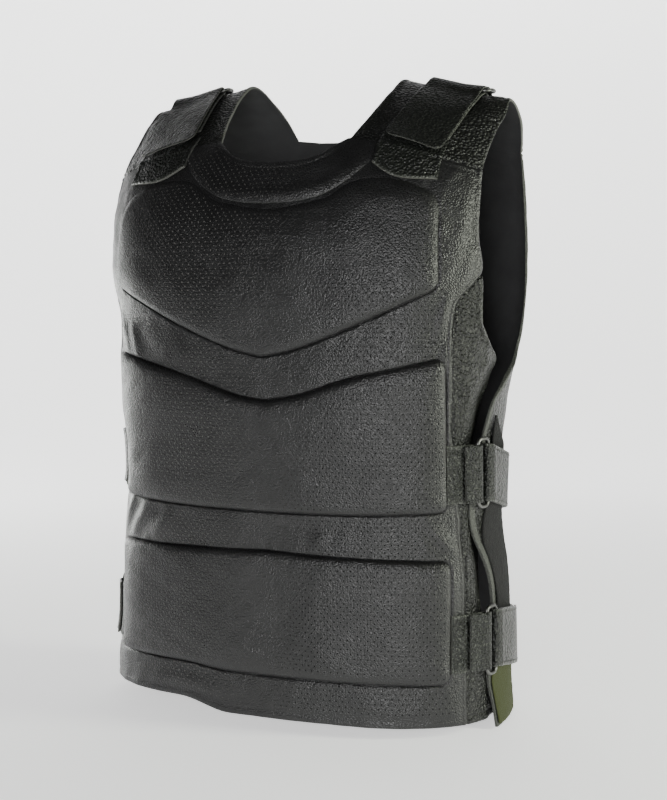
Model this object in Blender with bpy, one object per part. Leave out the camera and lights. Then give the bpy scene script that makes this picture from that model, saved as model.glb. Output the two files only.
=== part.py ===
"""Padded leather motorcycle vest, shaped as it hangs on a wearer.

Metres, +Z up. +X is the wearer's left and -Y the front. The origin lies between the shoulders, at the
height where the inner face of the shoulder panels rests.

Places on the vest are given on the wearer's body, by three numbers:
  girth  the distance round the body from the centre front, or behind the shoulders from the centre back
  rise   the height at the centre front. Past the ridge of the shoulders it counts on down the back
  lift   the distance out from the body
"""
import math

import bmesh
import bpy
import numpy as np

SHELL = 0.0024              # leather of the panels, with its thin padding
LEATHER = 0.0024            # straps, tabs and patches
SEAM = 0.0006               # between two pieces sewn edge to edge
STACK = 0.0005              # between two pieces that lie on each other
YOKE_LEATHER = 0.0016
PAD_STACK = 0.0007          # between the front panel and the yoke and pads on it
PAD_THICKNESS = 0.0066
PAD_EDGE = 0.0012           # height of a pad's own edge
PAD_SHOULDER = 0.014        # width of the rounding along a pad's edge
PAD_CORNER = 0.010
LOOP_TAPE = 0.0015
LOOP_STACK = 0.0010         # under the loop tape, which is stiffer than the panel it is sewn to
HEM = -0.642
BACK_HEM = -0.650

# The wearer's body, from below the hem to the ridge of the shoulders. Each row is a squarish oval.
# front and back are the y of its centre front and centre back, and droop is how far it falls for
# each metre away from the centre. A squareness of 2 is an ellipse, and more is squarer.
BODY = np.array([
    # height, half_width, front, back, droop, squareness
    [-0.660, 0.197, -0.125, 0.112, 0.00, 2.7],
    [-0.520, 0.196, -0.125, 0.104, 0.00, 2.7],
    [-0.460, 0.192, -0.127, 0.096, 0.00, 2.7],
    [-0.400, 0.193, -0.129, 0.100, 0.00, 2.7],
    [-0.300, 0.198, -0.135, 0.110, 0.00, 2.7],
    [-0.210, 0.204, -0.136, 0.121, 0.02, 2.7],
    [-0.140, 0.207, -0.125, 0.130, 0.08, 2.7],
    [-0.080, 0.209, -0.099, 0.126, 0.16, 2.8],
    [-0.030, 0.209, -0.054, 0.103, 0.22, 3.1],
    [0.004, 0.208, -0.012, 0.060, 0.25, 3.8],
    [0.017, 0.207, 0.020, 0.020, 0.25, 4.2],
])
RIDGE = BODY[-1, 0]
DROOP_ROUNDING = 0.020

# Outlines of the panels, for the wearer's left side. The right side mirrors them.
NECKLINE = np.array([
    # girth, height: the front panel's top edge, up to the shoulder seam
    [0.000, -0.0980], [0.015, -0.0965], [0.030, -0.0932], [0.047, -0.0848], [0.060, -0.0735],
    [0.071, -0.0635],
])
SHOULDER_SEAM = np.array([
    # girth, height: from the neckline to the armhole
    [0.071, -0.0635], [0.105, -0.0645], [0.140, -0.0665], [0.175, -0.0697], [0.209, -0.0745],
])
FRONT_SIDE = np.array([
    # height, girth: seam with the gusset, then the armhole
    [-0.660, 0.203], [-0.532, 0.202], [-0.446, 0.197], [-0.357, 0.189], [-0.300, 0.190],
    [-0.261, 0.192], [-0.230, 0.199], [-0.204, 0.222], [-0.169, 0.218], [-0.122, 0.213],
    [-0.075, 0.208],
])
GUSSET_ROWS = np.array([
    # heights of the rows of faces that the front panel and the gusset share along their seam
    -0.642, -0.596, -0.550, -0.500, -0.448, -0.395, -0.345, -0.310, -0.291, -0.275,
    -0.255, -0.240, -0.228, -0.217, -0.206,
])
ARMHOLE_ROWS = np.array([-0.183, -0.158, -0.135, -0.114, -0.094])
GUSSET = np.array([
    # height, girth where the leather turns in, girth of the rear edge, depth of that edge
    [-0.642, 0.222, 0.240, 0.005], [-0.600, 0.215, 0.240, 0.008], [-0.545, 0.205, 0.240, 0.012],
    [-0.500, 0.203, 0.240, 0.012], [-0.448, 0.198, 0.240, 0.013], [-0.400, 0.193, 0.240, 0.014],
    [-0.367, 0.192, 0.240, 0.015], [-0.330, 0.205, 0.256, 0.013], [-0.305, 0.225, 0.270, 0.008],
    [-0.291, 0.240, 0.266, 0.003], [-0.275, 0.235, 0.242, 0.000], [-0.257, 0.228, 0.229, 0.000],
    [-0.221, 0.226, 0.227, 0.000], [-0.204, 0.224, 0.225, 0.000],
])
YOKE_SEAM = np.array([
    # girth, height
    [0.000, -0.138], [0.030, -0.135], [0.062, -0.124], [0.085, -0.104], [0.105, -0.076],
])
YOKE_END = 0.0995
NECK_EDGE = np.array([
    # rise, girth: the shoulder panel's inner edge, front to back
    [-0.0635, 0.0712], [-0.049, 0.0755], [-0.023, 0.0820], [0.004, 0.0878], [0.017, 0.0885],
    [0.030, 0.0878], [0.057, 0.0830], [0.079, 0.0785],
])
ARM_EDGE = np.array([
    # rise, girth: the shoulder panel's outer edge, front to back
    [-0.075, 0.2080], [-0.049, 0.2070], [-0.024, 0.2070], [-0.002, 0.2095], [0.008, 0.2085],
    [0.017, 0.2065], [0.026, 0.2085], [0.036, 0.2095], [0.057, 0.2070], [0.079, 0.2045],
])
BACK_SEAM = -0.045          # height of the shoulder panel's seam with the back
BACK_NECK = np.array([
    # girth, height: the back panel's top edge
    [0.000, -0.0580], [0.030, -0.0570], [0.055, -0.0530], [0.070, -0.0480], [0.0785, -0.0450],
    [0.120, -0.0450], [0.2045, -0.0450],
])
BACK_SIDE = np.array([
    # height, girth from the centre back: the open side edge, then the armhole, and how far the edge
    # stands away from the body
    [-0.660, 0.290, 0.009], [-0.635, 0.291, 0.006], [-0.608, 0.293, 0.001], [-0.560, 0.284, 0.000],
    [-0.529, 0.277, 0.000],
    [-0.486, 0.292, 0.000], [-0.438, 0.301, 0.000], [-0.400, 0.296, 0.000], [-0.367, 0.292, 0.000],
    [-0.350, 0.288, 0.001], [-0.332, 0.2795, 0.002], [-0.318, 0.263, 0.003], [-0.305, 0.2476, 0.004],
    [-0.291, 0.2246, 0.006], [-0.270, 0.216, 0.010], [-0.238, 0.211, 0.013], [-0.170, 0.206, 0.011],
    [-0.100, 0.202, 0.006], [-0.045, 0.2045, 0.000],
])
FLARE_WIDTH = 0.080         # how far in from the back panel's edge it starts to stand away

# Outlines of the pads. Top and bottom are edges by girth, and half_width is at the top and bottom.
CHEST_TOP = np.array([[0.000, -0.141], [0.030, -0.138], [0.062, -0.127], [0.085, -0.108],
                      [0.100, -0.102], [0.115, -0.1005], [0.140, -0.1005], [0.170, -0.101]])
CHEST_BOTTOM = np.array([[0.000, -0.2885], [0.025, -0.284], [0.090, -0.261], [0.173, -0.2215]])
WAIST_TOP = np.array([[0.000, -0.330], [0.025, -0.327], [0.093, -0.307], [0.180, -0.288]])
WAIST_BOTTOM = np.array([[0.000, -0.438], [0.090, -0.437], [0.180, -0.434]])
BELLY_TOP = np.array([[0.000, -0.481], [0.090, -0.484], [0.182, -0.487]])
BELLY_BOTTOM = np.array([[0.000, -0.603], [0.090, -0.602], [0.180, -0.600]])
CHEST_HALF_WIDTH = (0.168, 0.173)
WAIST_HALF_WIDTH = (0.180, 0.178)
BELLY_HALF_WIDTH = (0.181, 0.178)

# Rings of bent wire, and the straps folded through them.
WIRE_RADIUS = 0.0020
WIRE_CLEARANCE = 0.0004
RING_BARS_APART = 0.016     # between the centres of the two long bars
RING_LENGTH = 0.066
RING_CORNER = 0.0055
FOLD_RADIUS = WIRE_RADIUS + WIRE_CLEARANCE + LEATHER / 2
FOLD_GAP = 0.0009           # between the two layers of a folded strap
UNDER_LAYER = SHELL + STACK + LEATHER / 2
OVER_LAYER = UNDER_LAYER + LEATHER + FOLD_GAP
EYE = UNDER_LAYER + FOLD_RADIUS
RAISE_RUN = 0.006           # length over which a side strap climbs on to the loop tape
FOLD_RUN = 0.014            # length over which the folded strap comes together behind its ring
STRAP_WIDTH = 0.058         # at the shoulder
SIDE_STRAP_WIDTH = 0.056
SIDE_STRAP_SHORTER = 0.006  # how much shorter a folded strap's upper layer is than its lower one
SIDE_TAB_SHORTER = 0.018
ANCHOR_SHORTER = 0.007
FACE_LENGTH = 0.0105        # the longest face along a strap
FOLD_FACES = 5              # faces round each fold
CORNER_FACES = 2            # faces along each corner of a ring
WIRE_SIDES = 6

SHOULDER_STRAP_GIRTH = 0.1520   # its centre line at the ridge
SHOULDER_STRAP_LEAN = 0.165     # how far it leans inward for each metre it comes down the front
SHOULDER_FREE_END = -0.064      # height of the loose end
SHOULDER_SEWN_END = -0.044
SHOULDER_RING_RUN = 0.000       # the ring's centre, from the ridge
ANCHOR_WIDTH = 0.050
ANCHOR_LENGTH = 0.034
TAB_TOP = -0.050
TAB_BOTTOM = np.array([[0.1015, -0.086], [0.120, -0.097], [0.166, -0.0965]])

# Side straps: height of the centre line at the ring, girth of the ring's centre, fall per metre behind
SIDE_STRAPS = {
    "upper": {"height": -0.397, "ring": 0.2225, "tab": 0.181, "fall": 0.28, "end": 0.306},
    "lower": {"height": -0.567, "ring": 0.2315, "tab": 0.184, "fall": 0.16, "end": 0.316},
}
LOOP_FRONT = np.array([
    # height, girth from the centre back: the loop tape's front edge
    [-0.647, 0.280], [-0.620, 0.279], [-0.600, 0.276], [-0.560, 0.272], [-0.529, 0.266],
    [-0.500, 0.276], [-0.462, 0.286], [-0.440, 0.273], [-0.420, 0.271], [-0.380, 0.272], [-0.345, 0.274],
])
LOOP_REAR = 0.222           # its straight rear edge
LOOP_TOP = -0.345
LOOP_BOTTOM = -0.647

# Colours
BLACK_LEATHER = (0.022, 0.023, 0.023)
PEBBLED_LEATHER = (0.026, 0.027, 0.026)
LOOP_PILE = (0.012, 0.013, 0.010)
GREY_METAL = (0.42, 0.42, 0.41)


def smooth_curve(table, at, column=1):
    """Reads a column of the table where its first column is at, on a smooth curve through the rows."""
    x = table[:, 0]
    y = table[:, column]
    slope = np.gradient(y, x)
    at = np.clip(at, x[0], x[-1])
    low = np.clip(np.searchsorted(x, at) - 1, 0, len(x) - 2)
    width = x[low + 1] - x[low]
    part = (at - x[low]) / width
    ease = part * part * (3 - 2 * part)
    start_pull = part * (1 - part) ** 2 * slope[low]
    end_pull = part ** 2 * (1 - part) * slope[low + 1]
    return y[low] + (y[low + 1] - y[low]) * ease + width * (start_pull - end_pull)


def straight_lines(table, at, column=1):
    """The same, on straight lines from row to row."""
    return np.interp(at, table[:, 0], table[:, column])


def body_row(level):
    """The smooth body's row at a level, which counts the rows of BODY from 0."""
    over_the_ridge = BODY[-2, [0, 1, 3, 2, 4, 5]]
    rows = np.vstack([2 * BODY[0] - BODY[1], BODY, over_the_ridge])
    low = np.clip(level.astype(int), 0, len(BODY) - 2)
    part = (level - low)[..., None]
    before, start, end, after = (rows[low + step] for step in range(4))
    return 0.5 * (2 * start + (end - before) * part
                  + (2 * before - 5 * start + 4 * end - after) * part ** 2
                  + (3 * start - before - 3 * end + after) * part ** 3)


def section_point(angle, level):
    """A point of the body, at an angle round it from the centre front."""
    height, half_width, front, back, droop, squareness = np.moveaxis(body_row(level), -1, 0)
    side = np.sin(angle)
    ahead = np.cos(angle)
    middle = (front + back) / 2
    depth = np.where(ahead > 0, middle - front, back - middle)
    x = half_width * np.sign(side) * np.abs(side) ** (2 / squareness)
    y = middle - depth * np.sign(ahead) * np.abs(ahead) ** (2 / squareness)
    z = height - droop * np.sqrt(x * x + DROOP_ROUNDING ** 2)
    return np.stack([x, y, z], axis=-1)


def running_length(points):
    """Distance along a row of points, from the first."""
    steps = np.linalg.norm(np.diff(points, axis=0), axis=1)
    return np.concatenate([[0.0], np.cumsum(steps)])


LEVELS_PER_ROW = 10
ANGLES = np.linspace(0, math.pi, 361)
GIRTHS = np.array([
    running_length(section_point(ANGLES, np.full(len(ANGLES), level / LEVELS_PER_ROW)))
    for level in range((len(BODY) - 1) * LEVELS_PER_ROW + 1)
])


def girth_row(level):
    """Girth from the centre front at each of ANGLES, at one level."""
    place = min(level * LEVELS_PER_ROW, len(GIRTHS) - 1.000001)
    low = int(place)
    return GIRTHS[low] + (GIRTHS[low + 1] - GIRTHS[low]) * (place - low)


def level_at(height):
    return np.interp(height, BODY[:, 0], np.arange(len(BODY)))


def half_girth(height):
    """From the centre front to the centre back, round one side."""
    return np.interp(level_at(height) * LEVELS_PER_ROW, np.arange(len(GIRTHS)), GIRTHS[:, -1])


def bare_point(girth, rise):
    """Points on the body itself."""
    girth, rise = np.broadcast_arrays(np.asarray(girth, float), np.asarray(rise, float))
    behind = rise > RIDGE
    level = level_at(np.where(behind, 2 * RIDGE - rise, rise))
    angle = np.empty(girth.shape)
    for place in np.ndindex(girth.shape):
        row = girth_row(level[place])
        reach = abs(girth[place])
        if behind[place]:
            reach = row[-1] - reach
        angle[place] = math.copysign(np.interp(reach, row, ANGLES), girth[place])
    return section_point(angle, level)


def on_body(girth, rise, lift=0.0):
    """Points at a distance out from the body."""
    step = 0.001
    girth, rise, lift = np.broadcast_arrays(girth, rise, lift)
    across = bare_point(girth + step, rise) - bare_point(girth - step, rise)
    along = bare_point(girth, rise + step) - bare_point(girth, rise - step)
    out = np.cross(across, along)
    out /= np.linalg.norm(out, axis=-1, keepdims=True)
    return bare_point(girth, rise) + out * lift[..., None]


def back_flare(girth, height):
    """How far the back panel stands away from the body near its side edges."""
    edge = smooth_curve(BACK_SIDE, height)
    most = smooth_curve(BACK_SIDE, height, column=2)
    share = np.clip((np.abs(girth) - edge + FLARE_WIDTH) / FLARE_WIDTH, 0, 1)
    return most * share ** 2 * (3 - 2 * share)


SHOULDER_GIRTHS = np.linspace(0.07, 0.21, 15)
SHOULDER_RISES = np.linspace(RIDGE - 0.12, RIDGE + 0.12, 241)
SHOULDER_RUNS = []
for shoulder_girth in SHOULDER_GIRTHS:
    run_so_far = running_length(bare_point(shoulder_girth, SHOULDER_RISES))
    SHOULDER_RUNS.append(run_so_far - np.interp(RIDGE, SHOULDER_RISES, run_so_far))
SHOULDER_RUNS = np.array(SHOULDER_RUNS)


def runs_at(girth):
    """Distance from the ridge at each of SHOULDER_RISES, along the line of one girth."""
    return np.array([np.interp(girth, SHOULDER_GIRTHS, column) for column in SHOULDER_RUNS.T])


def run_at(girth, rise):
    """Distance over the shoulder from the ridge, below zero in front."""
    return float(np.interp(rise, SHOULDER_RISES, runs_at(girth)))


def rise_at(girth, run):
    return float(np.interp(run, runs_at(girth), SHOULDER_RISES))


def finish(name, colour, roughness, metallic=0.0):
    material = bpy.data.materials.new(name)
    material.use_nodes = True
    shader = material.node_tree.nodes["Principled BSDF"]
    shader.inputs["Base Color"].default_value = (*colour, 1.0)
    shader.inputs["Roughness"].default_value = roughness
    shader.inputs["Metallic"].default_value = metallic
    return material


def add_object(name, vertices, faces, material, sharp_angle=40):
    mesh = bpy.data.meshes.new(name)
    shape = bmesh.new()
    corners = [shape.verts.new(vertex) for vertex in vertices]
    for face in faces:
        shape.faces.new([corners[index] for index in face])
    bmesh.ops.recalc_face_normals(shape, faces=shape.faces)
    shape.to_mesh(mesh)
    shape.free()
    mesh.materials.append(material)
    mesh.shade_smooth()
    mesh.set_sharp_from_angle(angle=math.radians(sharp_angle))
    made = bpy.data.objects.new(name, mesh)
    bpy.context.scene.collection.objects.link(made)
    return made


def slab(name, upper, lower, material):
    """A closed sheet between two grids of points."""
    rows, columns = upper.shape[:2]
    count = rows * columns
    vertices = np.concatenate([upper.reshape(-1, 3), lower.reshape(-1, 3)])
    grid = np.arange(count).reshape(rows, columns)
    faces = []
    for row in range(rows - 1):
        for column in range(columns - 1):
            face = [grid[row, column], grid[row, column + 1],
                    grid[row + 1, column + 1], grid[row + 1, column]]
            faces.append(face)
            faces.append([index + count for index in reversed(face)])
    rim = [*grid[0, :-1], *grid[:-1, -1], *grid[-1, :0:-1], *grid[:0:-1, 0]]
    for start, end in zip(rim, rim[1:] + rim[:1]):
        faces.append([end, start, start + count, end + count])
    return add_object(name, vertices.tolist(), faces, material)


def sheet(name, girth, rise, low, high, material, side=1):
    """A closed sheet that follows the body. side is -1 for the wearer's right."""
    mirror = np.array([side, 1, 1])
    return slab(name, on_body(girth, rise, high) * mirror, on_body(girth, rise, low) * mirror, material)


def wire_ring(name, place, material):
    """A closed ring of bent wire. place turns run, across and lift into points."""
    half_run = RING_BARS_APART / 2 - RING_CORNER
    half_across = RING_LENGTH / 2 - RING_CORNER
    path = []
    for corner in range(4):
        turn = corner * math.pi / 2
        centre_run = half_run * (1 if corner in (0, 3) else -1)
        centre_across = half_across * (1 if corner in (0, 1) else -1)
        for step in range(CORNER_FACES + 1):
            angle = turn + step * math.pi / 2 / CORNER_FACES
            path.append((centre_run + RING_CORNER * math.cos(angle),
                         centre_across + RING_CORNER * math.sin(angle)))
    run, across = np.array(path).T
    centre = place(run, across, np.full(len(run), EYE))
    out = place(run, across, np.full(len(run), EYE + 0.001)) - centre
    out /= np.linalg.norm(out, axis=1, keepdims=True)
    along = np.roll(centre, -1, axis=0) - np.roll(centre, 1, axis=0)
    aside = np.cross(along, out)
    aside /= np.linalg.norm(aside, axis=1, keepdims=True)
    vertices = []
    for point, outward, sideways in zip(centre, out, aside):
        for step in range(WIRE_SIDES):
            angle = step * 2 * math.pi / WIRE_SIDES
            offset = outward * math.cos(angle) + sideways * math.sin(angle)
            vertices.append(point + WIRE_RADIUS * offset)
    faces = []
    for row in range(len(centre)):
        following = (row + 1) % len(centre)
        for step in range(WIRE_SIDES):
            beside = (step + 1) % WIRE_SIDES
            faces.append([row * WIRE_SIDES + step, row * WIRE_SIDES + beside,
                          following * WIRE_SIDES + beside, following * WIRE_SIDES + step])
    return add_object(name, [list(vertex) for vertex in vertices], faces, material, sharp_angle=70)


def evenly(start, end, longest):
    """Values from start up to, but without, end, at most longest apart."""
    steps = max(1, math.ceil(abs(end - start) / longest))
    return [start + (end - start) * step / steps for step in range(steps)]


def folded_strap(name, place, width, bar, sewn_end, loose_end, material):
    """A strap that runs from sewn_end to a ring's bar, round the bar and back to loose_end.

    place turns run, across and lift into points, and the other places are runs.
    """
    onward = math.copysign(1, bar - sewn_end)
    together = bar - onward * FOLD_RUN
    line = [(run, UNDER_LAYER) for run in evenly(sewn_end, bar, FACE_LENGTH)]
    for step in range(FOLD_FACES + 1):
        angle = (step / FOLD_FACES - 0.5) * math.pi
        line.append((bar + onward * FOLD_RADIUS * math.cos(angle), EYE + FOLD_RADIUS * math.sin(angle)))
    line += [(run, OVER_LAYER) for run in evenly(together, loose_end, FACE_LENGTH)]
    line.append((loose_end, OVER_LAYER))
    line = np.array(line)
    direction = np.gradient(line, axis=0)
    direction /= np.linalg.norm(direction, axis=1, keepdims=True)
    normal = np.stack([-direction[:, 1], direction[:, 0]], axis=1)
    across = np.linspace(-width / 2, width / 2, 3)
    faces_of_leather = []
    for offset in (LEATHER / 2, -LEATHER / 2):
        run, lift = (line + normal * offset).T
        faces_of_leather.append(place(run[:, None], across[None, :], lift[:, None]))
    return slab(name, faces_of_leather[0], faces_of_leather[1], material)


def side_place(strap, side):
    """Places on the wearer's side: run is the distance behind the ring's centre."""
    mirror = np.array([side, 1, 1])

    def place(run, across, lift):
        run, across, lift = np.broadcast_arrays(run, across, lift)
        girth = strap["ring"] + run
        behind_ring = np.maximum(run - RING_BARS_APART / 2, 0)
        height = strap["height"] - strap["fall"] * behind_ring + across
        flare = back_flare(half_girth(height) - girth, height)
        return on_body(girth, height, lift + flare * np.clip(behind_ring / FOLD_RUN, 0, 1)) * mirror

    return place


def shoulder_place(side):
    """Places over the shoulder: run is the distance behind the ridge, along the strap."""
    mirror = np.array([side, 1, 1])

    def place(run, across, lift):
        run, across, lift = np.broadcast_arrays(run, across, lift)
        girth = SHOULDER_STRAP_GIRTH + SHOULDER_STRAP_LEAN * np.minimum(run, 0) + across
        rise = np.empty(run.shape)
        for spot in np.ndindex(run.shape):
            rise[spot] = rise_at(girth[spot], run[spot])
        return on_body(girth, rise, lift) * mirror

    return place


def fine_at_sides(count):
    """Shares from -1 to 1, closer together towards the ends, where the body turns."""
    even = np.linspace(-1, 1, count)
    return even * (1.25 - 0.25 * even ** 2)


FITTING_ROUNDS = 20         # a panel's width and its edge's height settle on each other in these


def top_of_front(girth):
    girth = np.abs(girth)
    neckline = smooth_curve(NECKLINE, girth)
    return np.where(girth < NECKLINE[-1, 0], neckline, straight_lines(SHOULDER_SEAM, girth))


def add_front_panel(leather):
    columns = fine_at_sides(21)
    top_girth = columns * FRONT_SIDE[-1, 1]
    for _ in range(FITTING_ROUNDS):
        top_girth = columns * smooth_curve(FRONT_SIDE, top_of_front(top_girth))
    top = top_of_front(top_girth) - SEAM / 2
    heights = np.concatenate([GUSSET_ROWS, ARMHOLE_ROWS, top[-1:]])
    shares = (heights - HEM) / (top[-1] - HEM)
    rise = HEM + shares[:, None] * (top[None, :] - HEM)
    girth = columns[None, :] * (smooth_curve(FRONT_SIDE, rise) - SEAM / 2)
    sheet("front_panel", girth, rise, 0, SHELL, leather)


def edge_rounding(distance):
    """Share of the pad's full thickness at a distance in from its edge."""
    return np.sin(np.clip(distance / PAD_SHOULDER, 0, 1) * math.pi / 2)


def add_pad(name, top, bottom, half_width, rows_inside, leather):
    """A firm pad under its leather, with rounded edges and corners."""
    near_edge = np.array([0.0, 0.28, 1.0]) * PAD_SHOULDER
    height = top[:, 1].mean() - bottom[:, 1].mean()
    width = max(half_width)
    inside = np.linspace(near_edge[-1], height - near_edge[-1], rows_inside + 2)[1:-1]
    rows = np.concatenate([near_edge, inside, height - near_edge[::-1]]) / height
    inner = fine_at_sides(15) * (width - near_edge[-1])
    columns = np.concatenate([near_edge - width, inner[1:-1], width - near_edge[::-1]]) / width
    from_top_or_bottom = np.minimum(rows, 1 - rows) * height
    corner = PAD_CORNER - np.clip(from_top_or_bottom, 0, PAD_CORNER)
    narrowing = PAD_CORNER - np.sqrt(PAD_CORNER ** 2 - corner ** 2)
    half = half_width[1] + (half_width[0] - half_width[1]) * rows - narrowing
    girth = half[:, None] * columns[None, :]
    low_edge = smooth_curve(bottom, np.abs(girth))
    high_edge = smooth_curve(top, np.abs(girth))
    rise = low_edge + (high_edge - low_edge) * rows[:, None]
    from_side = width * (1 - np.abs(columns))
    rounding = edge_rounding(from_top_or_bottom)[:, None] * edge_rounding(from_side)
    low = SHELL + PAD_STACK
    high = low + PAD_EDGE + (PAD_THICKNESS - PAD_EDGE) * rounding
    sheet(name, girth, rise, low, high, leather)


def add_neck_yoke(leather):
    girth = np.linspace(-YOKE_END, YOKE_END, 23)
    high_edge = top_of_front(girth) - SEAM / 2
    low_edge = smooth_curve(YOKE_SEAM, np.abs(girth))
    shares = np.linspace(0, 1, 4)[:, None]
    rise = low_edge + (high_edge - low_edge) * shares
    low = SHELL + PAD_STACK
    sheet("neck_yoke", np.broadcast_to(girth, rise.shape), rise, low, low + YOKE_LEATHER, leather)


def add_shoulder_panel(name, side, leather):
    """From the front seam over the ridge to the back seam, and from the neck edge to the arm edge."""
    shares_along = np.linspace(0, 1, 13)
    shares_across = np.linspace(0, 1, 8)
    girth = np.empty((len(shares_along), len(shares_across)))
    rise = np.empty(girth.shape)
    back_rise = 2 * RIDGE - BACK_SEAM - SEAM / 2
    for row, along in enumerate(shares_along):
        for column, across in enumerate(shares_across):
            spot = NECK_EDGE[0, 1] + (ARM_EDGE[0, 1] - NECK_EDGE[0, 1]) * across
            for _ in range(FITTING_ROUNDS):
                front_run = run_at(spot, float(top_of_front(spot)) + SEAM / 2)
                back_run = run_at(spot, back_rise)
                height = rise_at(spot, front_run + (back_run - front_run) * along)
                inner = float(smooth_curve(NECK_EDGE, height))
                outer = float(smooth_curve(ARM_EDGE, height))
                spot = inner + (outer - inner) * across
            girth[row, column] = spot
            rise[row, column] = height
    sheet(name, girth, rise, 0, SHELL, leather, side)


def add_side_gusset(name, side, leather):
    """Sewn to the front panel's side, and turned in behind the back panel's edge."""
    rise = GUSSET_ROWS[:, None]
    front = smooth_curve(FRONT_SIDE, rise) + SEAM / 2
    turn, rear, depth = (straight_lines(GUSSET, rise, column) for column in (1, 2, 3))
    girth = front + (rear - front) * np.linspace(0, 1, 6)[None, :]
    share = np.clip((girth - turn) / (rear - turn), 0, 1)
    lift = -depth * share ** 2 * (3 - 2 * share)
    sheet(name, girth, np.broadcast_to(rise, girth.shape), lift, lift + SHELL, leather, side)


def add_back_panel(leather):
    even = np.linspace(-1, 1, 25)
    columns = np.sign(even) * np.abs(even) ** 0.85
    side_top = BACK_SEAM - SEAM / 2
    heights = np.concatenate([np.linspace(BACK_HEM, -0.360, 9), np.linspace(-0.335, -0.285, 4),
                              np.linspace(-0.260, side_top, 7)])
    shares = (heights - BACK_HEM) / (side_top - BACK_HEM)
    half = smooth_curve(BACK_SIDE, heights)
    girth = half[:, None] * columns[None, :]
    neck_drop = straight_lines(BACK_NECK, np.abs(girth[-1])) - BACK_SEAM
    height = heights[:, None] + neck_drop[None, :] * shares[:, None] ** 5
    flare = back_flare(girth, height)
    sheet("back_panel", girth, 2 * RIDGE - height, flare, flare + SHELL, leather)


def add_loop_strip(name, side, pile):
    height = np.linspace(LOOP_BOTTOM, LOOP_TOP, 13)[:, None]
    front = smooth_curve(LOOP_FRONT, height)
    girth = front + (LOOP_REAR - front) * np.linspace(0, 1, 5)[None, :]
    height = np.broadcast_to(height, girth.shape)
    low = back_flare(girth, height) + SHELL + LOOP_STACK
    sheet(name, girth, 2 * RIDGE - height, low, low + LOOP_TAPE, pile, side)


def add_shoulder_tab(name, side, leather):
    girth = np.concatenate([[0.1015, 0.110], np.linspace(0.120, 0.166, 5)])[None, :]
    bottom = straight_lines(TAB_BOTTOM, girth)
    rise = bottom + (TAB_TOP - bottom) * np.linspace(0, 1, 4)[:, None]
    girth = np.broadcast_to(girth, rise.shape)
    low = SHELL + STACK
    sheet(name, girth, rise, low, low + LEATHER, leather, side)


def add_shoulder_fastening(label, side, leather, metal):
    place = shoulder_place(side)
    free_end = run_at(SHOULDER_STRAP_GIRTH, SHOULDER_FREE_END)
    sewn_end = run_at(SHOULDER_STRAP_GIRTH, SHOULDER_SEWN_END)
    front_bar = SHOULDER_RING_RUN - RING_BARS_APART / 2
    rear_bar = SHOULDER_RING_RUN + RING_BARS_APART / 2
    wire_ring("shoulder_ring_" + label, place, metal)
    folded_strap("shoulder_strap_" + label, place, STRAP_WIDTH, front_bar, sewn_end, free_end, leather)
    folded_strap("shoulder_anchor_" + label, place, ANCHOR_WIDTH, rear_bar,
                 rear_bar + ANCHOR_LENGTH, rear_bar + ANCHOR_LENGTH - ANCHOR_SHORTER, leather)


def add_side_fastening(label, side, strap, leather, metal):
    place = side_place(strap, side)
    half = RING_BARS_APART / 2
    tab_start = strap["tab"] - strap["ring"]
    strap_end = strap["end"] - strap["ring"]
    wire_ring("side_ring_" + label, place, metal)
    folded_strap("side_tab_" + label, place, SIDE_STRAP_WIDTH, -half, tab_start,
                 tab_start + SIDE_TAB_SHORTER, leather)
    rise_over_tape = LOOP_TAPE + LOOP_STACK + STACK
    folded_strap("side_strap_" + label, lift_behind(place, rise_over_tape), SIDE_STRAP_WIDTH, half,
                 strap_end, strap_end - SIDE_STRAP_SHORTER, leather)


def lift_behind(place, extra):
    """Raises what lies behind the ring by extra, so that it clears the loop tape."""
    start = RING_BARS_APART / 2

    def raised(run, across, lift):
        share = np.clip((run - start) / RAISE_RUN, 0, 1)
        return place(run, across, lift + extra * share)

    return raised


def build():
    for old in list(bpy.data.objects):
        bpy.data.objects.remove(old, do_unlink=True)
    perforated = finish("perforated_leather", BLACK_LEATHER, 0.42)
    pebbled = finish("pebbled_leather", PEBBLED_LEATHER, 0.38)
    strap_leather = finish("strap_leather", PEBBLED_LEATHER, 0.36)
    pile = finish("loop_pile", LOOP_PILE, 0.95)
    metal = finish("grey_wire", GREY_METAL, 0.35, 0.9)
    add_front_panel(perforated)
    add_pad("chest_pad", CHEST_TOP, CHEST_BOTTOM, CHEST_HALF_WIDTH, 8, perforated)
    add_pad("waist_pad", WAIST_TOP, WAIST_BOTTOM, WAIST_HALF_WIDTH, 4, perforated)
    add_pad("belly_pad", BELLY_TOP, BELLY_BOTTOM, BELLY_HALF_WIDTH, 3, perforated)
    add_neck_yoke(perforated)
    add_back_panel(pebbled)
    for label, side in (("left", 1), ("right", -1)):
        add_shoulder_panel("shoulder_panel_" + label, side, pebbled)
        add_side_gusset("side_gusset_" + label, side, pebbled)
        add_loop_strip("loop_strip_" + label, side, pile)
        add_shoulder_tab("shoulder_tab_" + label, side, strap_leather)
        add_shoulder_fastening(label, side, strap_leather, metal)
        for level, strap in SIDE_STRAPS.items():
            add_side_fastening(label + "_" + level, side, strap, strap_leather, metal)


build()
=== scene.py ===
# %% [markdown]
# # A padded leather riding vest
#
# The vest is a front and a back of black leather that hang from two shoulder panels. Three foam
# pads sit under the perforated front, and wide straps close it at the shoulders and the sides.

# %% Load the fixed frame
import math

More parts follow.
